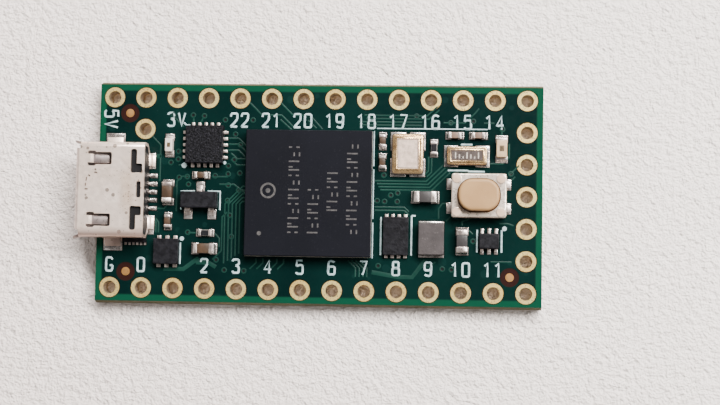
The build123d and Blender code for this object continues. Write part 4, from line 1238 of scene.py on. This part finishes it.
VIA_PLACES = [
    (-11.73, 6.23), (-10.13, 6.23), (-9.23, 6.17), (-7.53, 5.87), (-5.3, 5.88), (-6.68, 4.73),
    (-6.27, 3.87), (-11.25, 3.29), (-11.25, 2.67), (-11.83, 2.4), (-6.73, 2.67), (-7.2, 2.17),
    (-11.13, 1.2), (-10.49, 1.28), (-10.37, 0.67), (-7.2, 1.53), (-6.27, 1.6), (-8.25, 1.37),
    (-7.17, 0.63), (-6.33, 0.23), (-7.2, -0.6), (-7.0, -1.77), (-10.33, -3.17), (-6.83, -3.47),
    (-8.0, -5.33), (-7.33, -6.13), (-5.77, -6.17), (7.75, 6.32), (10.47, 5.82), (12.25, 5.95),
    (14.55, 5.35), (15.25, 1.82), (5.23, 1.59), (5.8, 0.0), (6.35, 0.18), (4.73, -0.45),
    (5.32, -0.5), (6.32, -0.5), (9.95, -5.77), (10.68, -5.82), (4.9, -5.6), (12.34, -3.55),
]
on_board = [((x, y, BOARD_TOP),) for x, y in VIA_PLACES]
settle_copies(via, on_board, "vias", track_finish)

# painted shade: the dark pit stands in for the shade down the via's hole
pit_shade_finish = finish(
    "via_pit", (0.0016, 0.0040, 0.0036), (0.0006, 0.0016, 0.0014), 0.4, patch=3000, shine=0.2
)
PIT_RADIUS = 0.125
pit = disc(PIT_RADIUS, 0.02, 16)
step_top(pit, (0.04, -0.006))
settle_copies(pit, on_board, "via_pits", pit_shade_finish)
print("vias:", len(VIA_PLACES))

# %% [markdown]
# ## Marks on the chips
#
# A laser lightens the mould compound along thin strokes. What is written on a real chip is
# its maker's own, so these marks are only plain ticks of about the same size and weight,
# set in four lines that read from the near edge to the far one, with a plain ring beside
# them and a dimple at the chip's first corner.

# %% Marks on the large chip
laser_finish = finish(
    "laser_mark", (0.075, 0.069, 0.067), (0.034, 0.032, 0.033), 0.6, grain=9000, bump=0.4,
    patch=3500, shine=0.2
)
CAP_LOW, CAP_HIGH = box_mm("mcu_mould_cap")
MARK_WIDTH = 0.12
MARK_STEP = 0.56
TALL = 0.42  # half the height of a full tick


def tick_line(x, start, end):
    """Plain ticks in a line that runs along Y at the given x."""
    strokes = []
    for i in range(ceil((end - start) / MARK_STEP)):
        y = start + (i + 0.5) * MARK_STEP
        kind = (i * 3 + round(x)) % 4
        if kind == 0:
            strokes.append([(x - TALL, y), (x + TALL, y)])
        elif kind == 1:
            strokes.append([(x - TALL, y - 0.12), (x + TALL, y - 0.12)])
            strokes.append([(x - TALL, y + 0.12), (x - 0.1, y + 0.12)])
        elif kind == 2:
            strokes += [[(x - TALL, y), (x - 0.16, y)], [(x + 0.16, y), (x + TALL, y)]]
        else:
            strokes += [[(x, y - 0.16), (x, y + 0.16)], [(x + TALL, y - 0.16), (x + TALL, y + 0.16)]]
    return strokes


chip_x = (CAP_LOW.x + CAP_HIGH.x) / 2
mark_lines = (
    tick_line(chip_x - 1.14, -3.4, 3.6)
    + tick_line(chip_x + 0.41, -3.4, 0.3)
    + tick_line(chip_x + 1.91, -1.5, 1.8)
    + tick_line(chip_x + 3.46, -3.3, 3.5)
)
MARK_THICKNESS = 0.006
lay_lines("chip_ticks", laser_finish, MARK_WIDTH, MARK_THICKNESS, mark_lines, height=CAP_HIGH.z)

RING_PLACE = (chip_x - 3.15, 0.15)
ring = disc(0.62, 0.010, 40)
select_faces(ring, lambda face: abs(face.normal.z) > 0.9)
bpy.ops.mesh.inset(thickness=0.16 * MM)
bpy.ops.mesh.bridge_edge_loops()
bpy.ops.object.mode_set(mode="OBJECT")
first_corner_dot = disc(0.17, 0.010, 24)
step_top(first_corner_dot, (0.05, -0.003))
middle_dot = copy_to(first_corner_dot, (*RING_PLACE, CAP_HIGH.z + 0.004), (1.1, 1.1, 1))
ring.location = Vector((*RING_PLACE, CAP_HIGH.z + 0.004)) * MM
first_corner_dot.location = Vector((chip_x - 3.79, -3.23, CAP_HIGH.z + 0.004)) * MM
settle(join_pieces([ring, middle_dot, first_corner_dot]), "chip_ring_and_dot", laser_finish)
print("tick strokes:", len(mark_lines))

# %% [markdown]
# The small crystal's lid is engraved with a short code. A row of upright strokes of three
# lengths gives the same weight without saying anything, and the pen lays them on the lid.

# %% Marks on the clock crystal
LID_LOW, LID_HIGH = box_mm("clock_crystal_lid")
LID_MARGIN = 0.27
LID_MARK_STEP = 0.30
lid_marks = []
for i in range(7):
    x = (LID_LOW.x + LID_HIGH.x) / 2 + (i - 3) * LID_MARK_STEP
    drop = 0.16 * (i % 3)
    lid_marks.append([(x, LID_LOW.y + LID_MARGIN), (x, LID_HIGH.y - LID_MARGIN - drop)])
lid_mark_finish = finish(
    "engraved_mark", (0.50, 0.44, 0.38), (0.34, 0.29, 0.25), 0.5, patch=3000, metallic=0.4
)
lay_lines("clock_crystal_marks", lid_mark_finish, 0.09, 0.005, lid_marks, height=LID_HIGH.z)
print("lid strokes:", len(lid_marks))

# %% [markdown]
# The lid of each crystal is welded down along its rim, which leaves a bright gold bead; inside it
# a dark line of painted shadow is laid. Both are closed paths laid on the lid, inset from its own box.

# %% Weld beads
def frame_path(low, high, inset):
    """A closed rectangle, inset from the corners of a box."""
    left, right, near, far = low.x + inset, high.x - inset, low.y + inset, high.y - inset
    return [(left, near), (right, near), (right, far), (left, far), (left, near - 0.03)]


shadow_finish = finish(
    "weld_shadow", (0.10, 0.055, 0.030), (0.05, 0.028, 0.016), 0.5, patch=3000, shine=0.2
)
for number, lid in enumerate(("main_crystal_lid", "clock_crystal_lid"), start=1):
    low, high = box_mm(lid)
    for kind, surface, inset, width, thickness in (
        ("bead", seam_finish, 0.05, 0.12, 0.018), ("shadow", shadow_finish, 0.15, 0.05, 0.006)
    ):
        name = f"lid_{kind}_{number}"
        path = frame_path(low, high, inset)
        lay_lines(name, surface, width, thickness, [path], height=high.z)
print("crystal lids with a bead and a dark line:", number)

# %% [markdown]
# The button's cover is held by four plastic pegs that are melted over at its corners, so
# each is a low disc with a domed top. The scuffs on the socket's roof, where plugs have
# knocked it, are a few short dark strokes from the same pen as the print.

# %% Pegs and scuffs
peg_finish = finish(
    "peg_plastic", (0.62, 0.44, 0.31), (0.50, 0.34, 0.23), 0.45, grain=6000, bump=0.4, patch=2500
)
COVER_LOW, COVER_HIGH = box_mm("switch_cover")
PEG_RADIUS = 0.34
peg = disc(PEG_RADIUS, 0.03, 24)
step_top(peg, (0.06, 0.012))
bpy.ops.object.shade_smooth_by_angle(angle=radians(30))
PEG_INSET = PEG_RADIUS + 0.08  # from the cover's edges to a peg's middle
pegs = [
    ((x, y, COVER_HIGH.z),)
    for x in (COVER_LOW.x + PEG_INSET, COVER_HIGH.x - PEG_INSET)
    for y in (COVER_LOW.y + PEG_INSET, COVER_HIGH.y - PEG_INSET)
]
settle_copies(peg, pegs, "cover_pegs", peg_finish)

SHELL_LOW, SHELL_HIGH = box_mm("usb_shell")
scuff_finish = finish("scuff", (0.10, 0.06, 0.04), (0.04, 0.025, 0.018), 0.6, patch=6000, shine=0.1)
shell_x = SHELL_LOW.x
scuffs = [
    [(shell_x + 1.98, 1.56), (shell_x + 2.12, 1.52)], [(shell_x + 1.98, 1.32), (shell_x + 2.20, 1.28)],
    [(shell_x + 1.50, 1.10), (shell_x + 1.66, 1.02)], [(shell_x + 1.38, 0.92), (shell_x + 1.33, 0.62)],
    [(shell_x + 1.30, 0.46), (shell_x + 1.29, 0.24)], [(shell_x + 1.24, 0.02), (shell_x + 1.48, -0.02)],
]
lay_lines("socket_scuffs", scuff_finish, 0.07, 0.003, scuffs, height=SHELL_HIGH.z)
print("pegs:", len(pegs), "scuffs:", len(scuffs))

# %% [markdown]
# Each LED shows its chip through the resin as a small dark square. The resin could be made
# clear with a chip inside, but the board shows only a shadow of it, so a thin block with
# its top inset and lifted stands just proud of the resin's top.

# %% LED chips
die_finish = finish(
    "led_chip", (0.16, 0.11, 0.06), (0.05, 0.035, 0.02), 0.35, grain=9000, patch=5000, metallic=0.4
)
LED_CHIP_LENGTH, LED_CHIP_WIDTH = 0.42, 0.34  # as shares of the resin's size
LED_CHIP_HEIGHT = 0.014
led_chips = []
for low, high in lump_boxes("led_lenses"):
    bpy.ops.mesh.primitive_cube_add(size=MM)
    chip = bpy.context.object
    step_top(chip, (0.22, 0.3))
    size = high - low
    chip.scale = (size.x * LED_CHIP_LENGTH, size.y * LED_CHIP_WIDTH, LED_CHIP_HEIGHT)
    chip.location = Vector(((low.x + high.x) / 2, (low.y + high.y) / 2, high.z)) * MM
    led_chips.append(chip)
settle(join_pieces(led_chips), "led_chips", die_finish)
print("LED chips:", len(led_chips))

# %% [markdown]
# ## The underside
#
# The underside carries no parts, so it gets only print and copper: the same numbers,
# mirrored so that they read from below, and some tracks between the rows of holes. The pen
# that drew the upper face draws them too, so both faces match, and they lie almost level
# with the mask.

# %% Underside print and tracks
def mirrored(paths, middle_y):
    """The paths turned over about a line along X, to be read from below."""
    return [[(x, 2 * middle_y - y) for x, y in path] for path in paths]


under_round, under_straight = [], []
for text, x, y in labels:
    rounds, straights = number_strokes(text, x, y)
    under_round += mirrored(rounds, y)
    under_straight += mirrored(straights, y)
UNDER_THICKNESS = 0.012
lay_lines(
    "underside_numbers", ink_finish, PEN_WIDTH, UNDER_THICKNESS, under_straight, under_round, height=0
)

under_tracks = []
for place in range(12):
    x = FIRST_HOLE_X + (place + 1) * PITCH
    reach = 4.6 - 0.32 * (place % 6)
    if place > 0:  # the extra hole is in the way of the first one
        under_tracks.append([(x, 6.90), (x, reach + 0.60), (x + 0.60, reach), (x + 0.60, -reach + 1.2)])
    under_tracks.append([(x, -6.90), (x, -reach - 0.40), (x - 0.60, -reach + 0.20), (x - 0.60, -1.6)])
under_tracks += bus([(-11.5, 3.6), (-9.8, 1.9), (9.6, 1.9), (11.3, 0.2)], (0.0, -0.32), 5)
lay_lines(
    "underside_tracks", track_finish, TRACK_WIDTH, UNDER_THICKNESS / 2, under_tracks, height=0
)
print("underside tracks:", len(under_tracks))

# %% [markdown]
# ## The table
#
# The board lies on a pale table whose surface has a fine pebbled texture, with painted light
# that makes it lighter towards the right and the back. It isn't part of the object, so it is
# marked as staging.

# %% Table
bpy.ops.mesh.primitive_plane_add(size=1.6, location=(0, 0, -0.01 * MM))
table = bpy.context.object
table.name = "table"
bpy.ops.object.transform_apply(location=True, rotation=True, scale=True)
table_finish = finish(
    "pebbled_table", (0.95, 0.835, 0.78), (0.88, 0.765, 0.71), 0.6, grain=1900, bump=1.0,
    depth=0.36, patch=40
)
tree, place = parts_of(table_finish)
# painted light: the table's colour is lighter towards the right and the back
towards_back = multiply(tree, place_along(tree, place, "Y"), 0.5)
slanting = calculate(tree, "ADD", place_along(tree, place, "X"), towards_back)
painted_light_gradient = ramp_mm(tree, slanting, -26, 30)
tint(tree, multiply(tree, painted_light_gradient, 0.75), (1.0, 0.92, 0.86))
table.data.materials.append(table_finish)
table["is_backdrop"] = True
print("table laid at z = 0")

# %% [markdown]
# ## Last checks
#
# The dressed object is held against the box of the CAD part: both boxes are worked out,
# and how far the dressed object reaches beyond the CAD box is printed.

# %% Compare the boxes
dressed_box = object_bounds()
growth = max(
    max(loaded_box[0][i] - dressed_box[0][i], dressed_box[1][i] - loaded_box[1][i]) for i in range(3)
)
print("growth beyond the CAD box:", round(growth / MM, 4), "mm")
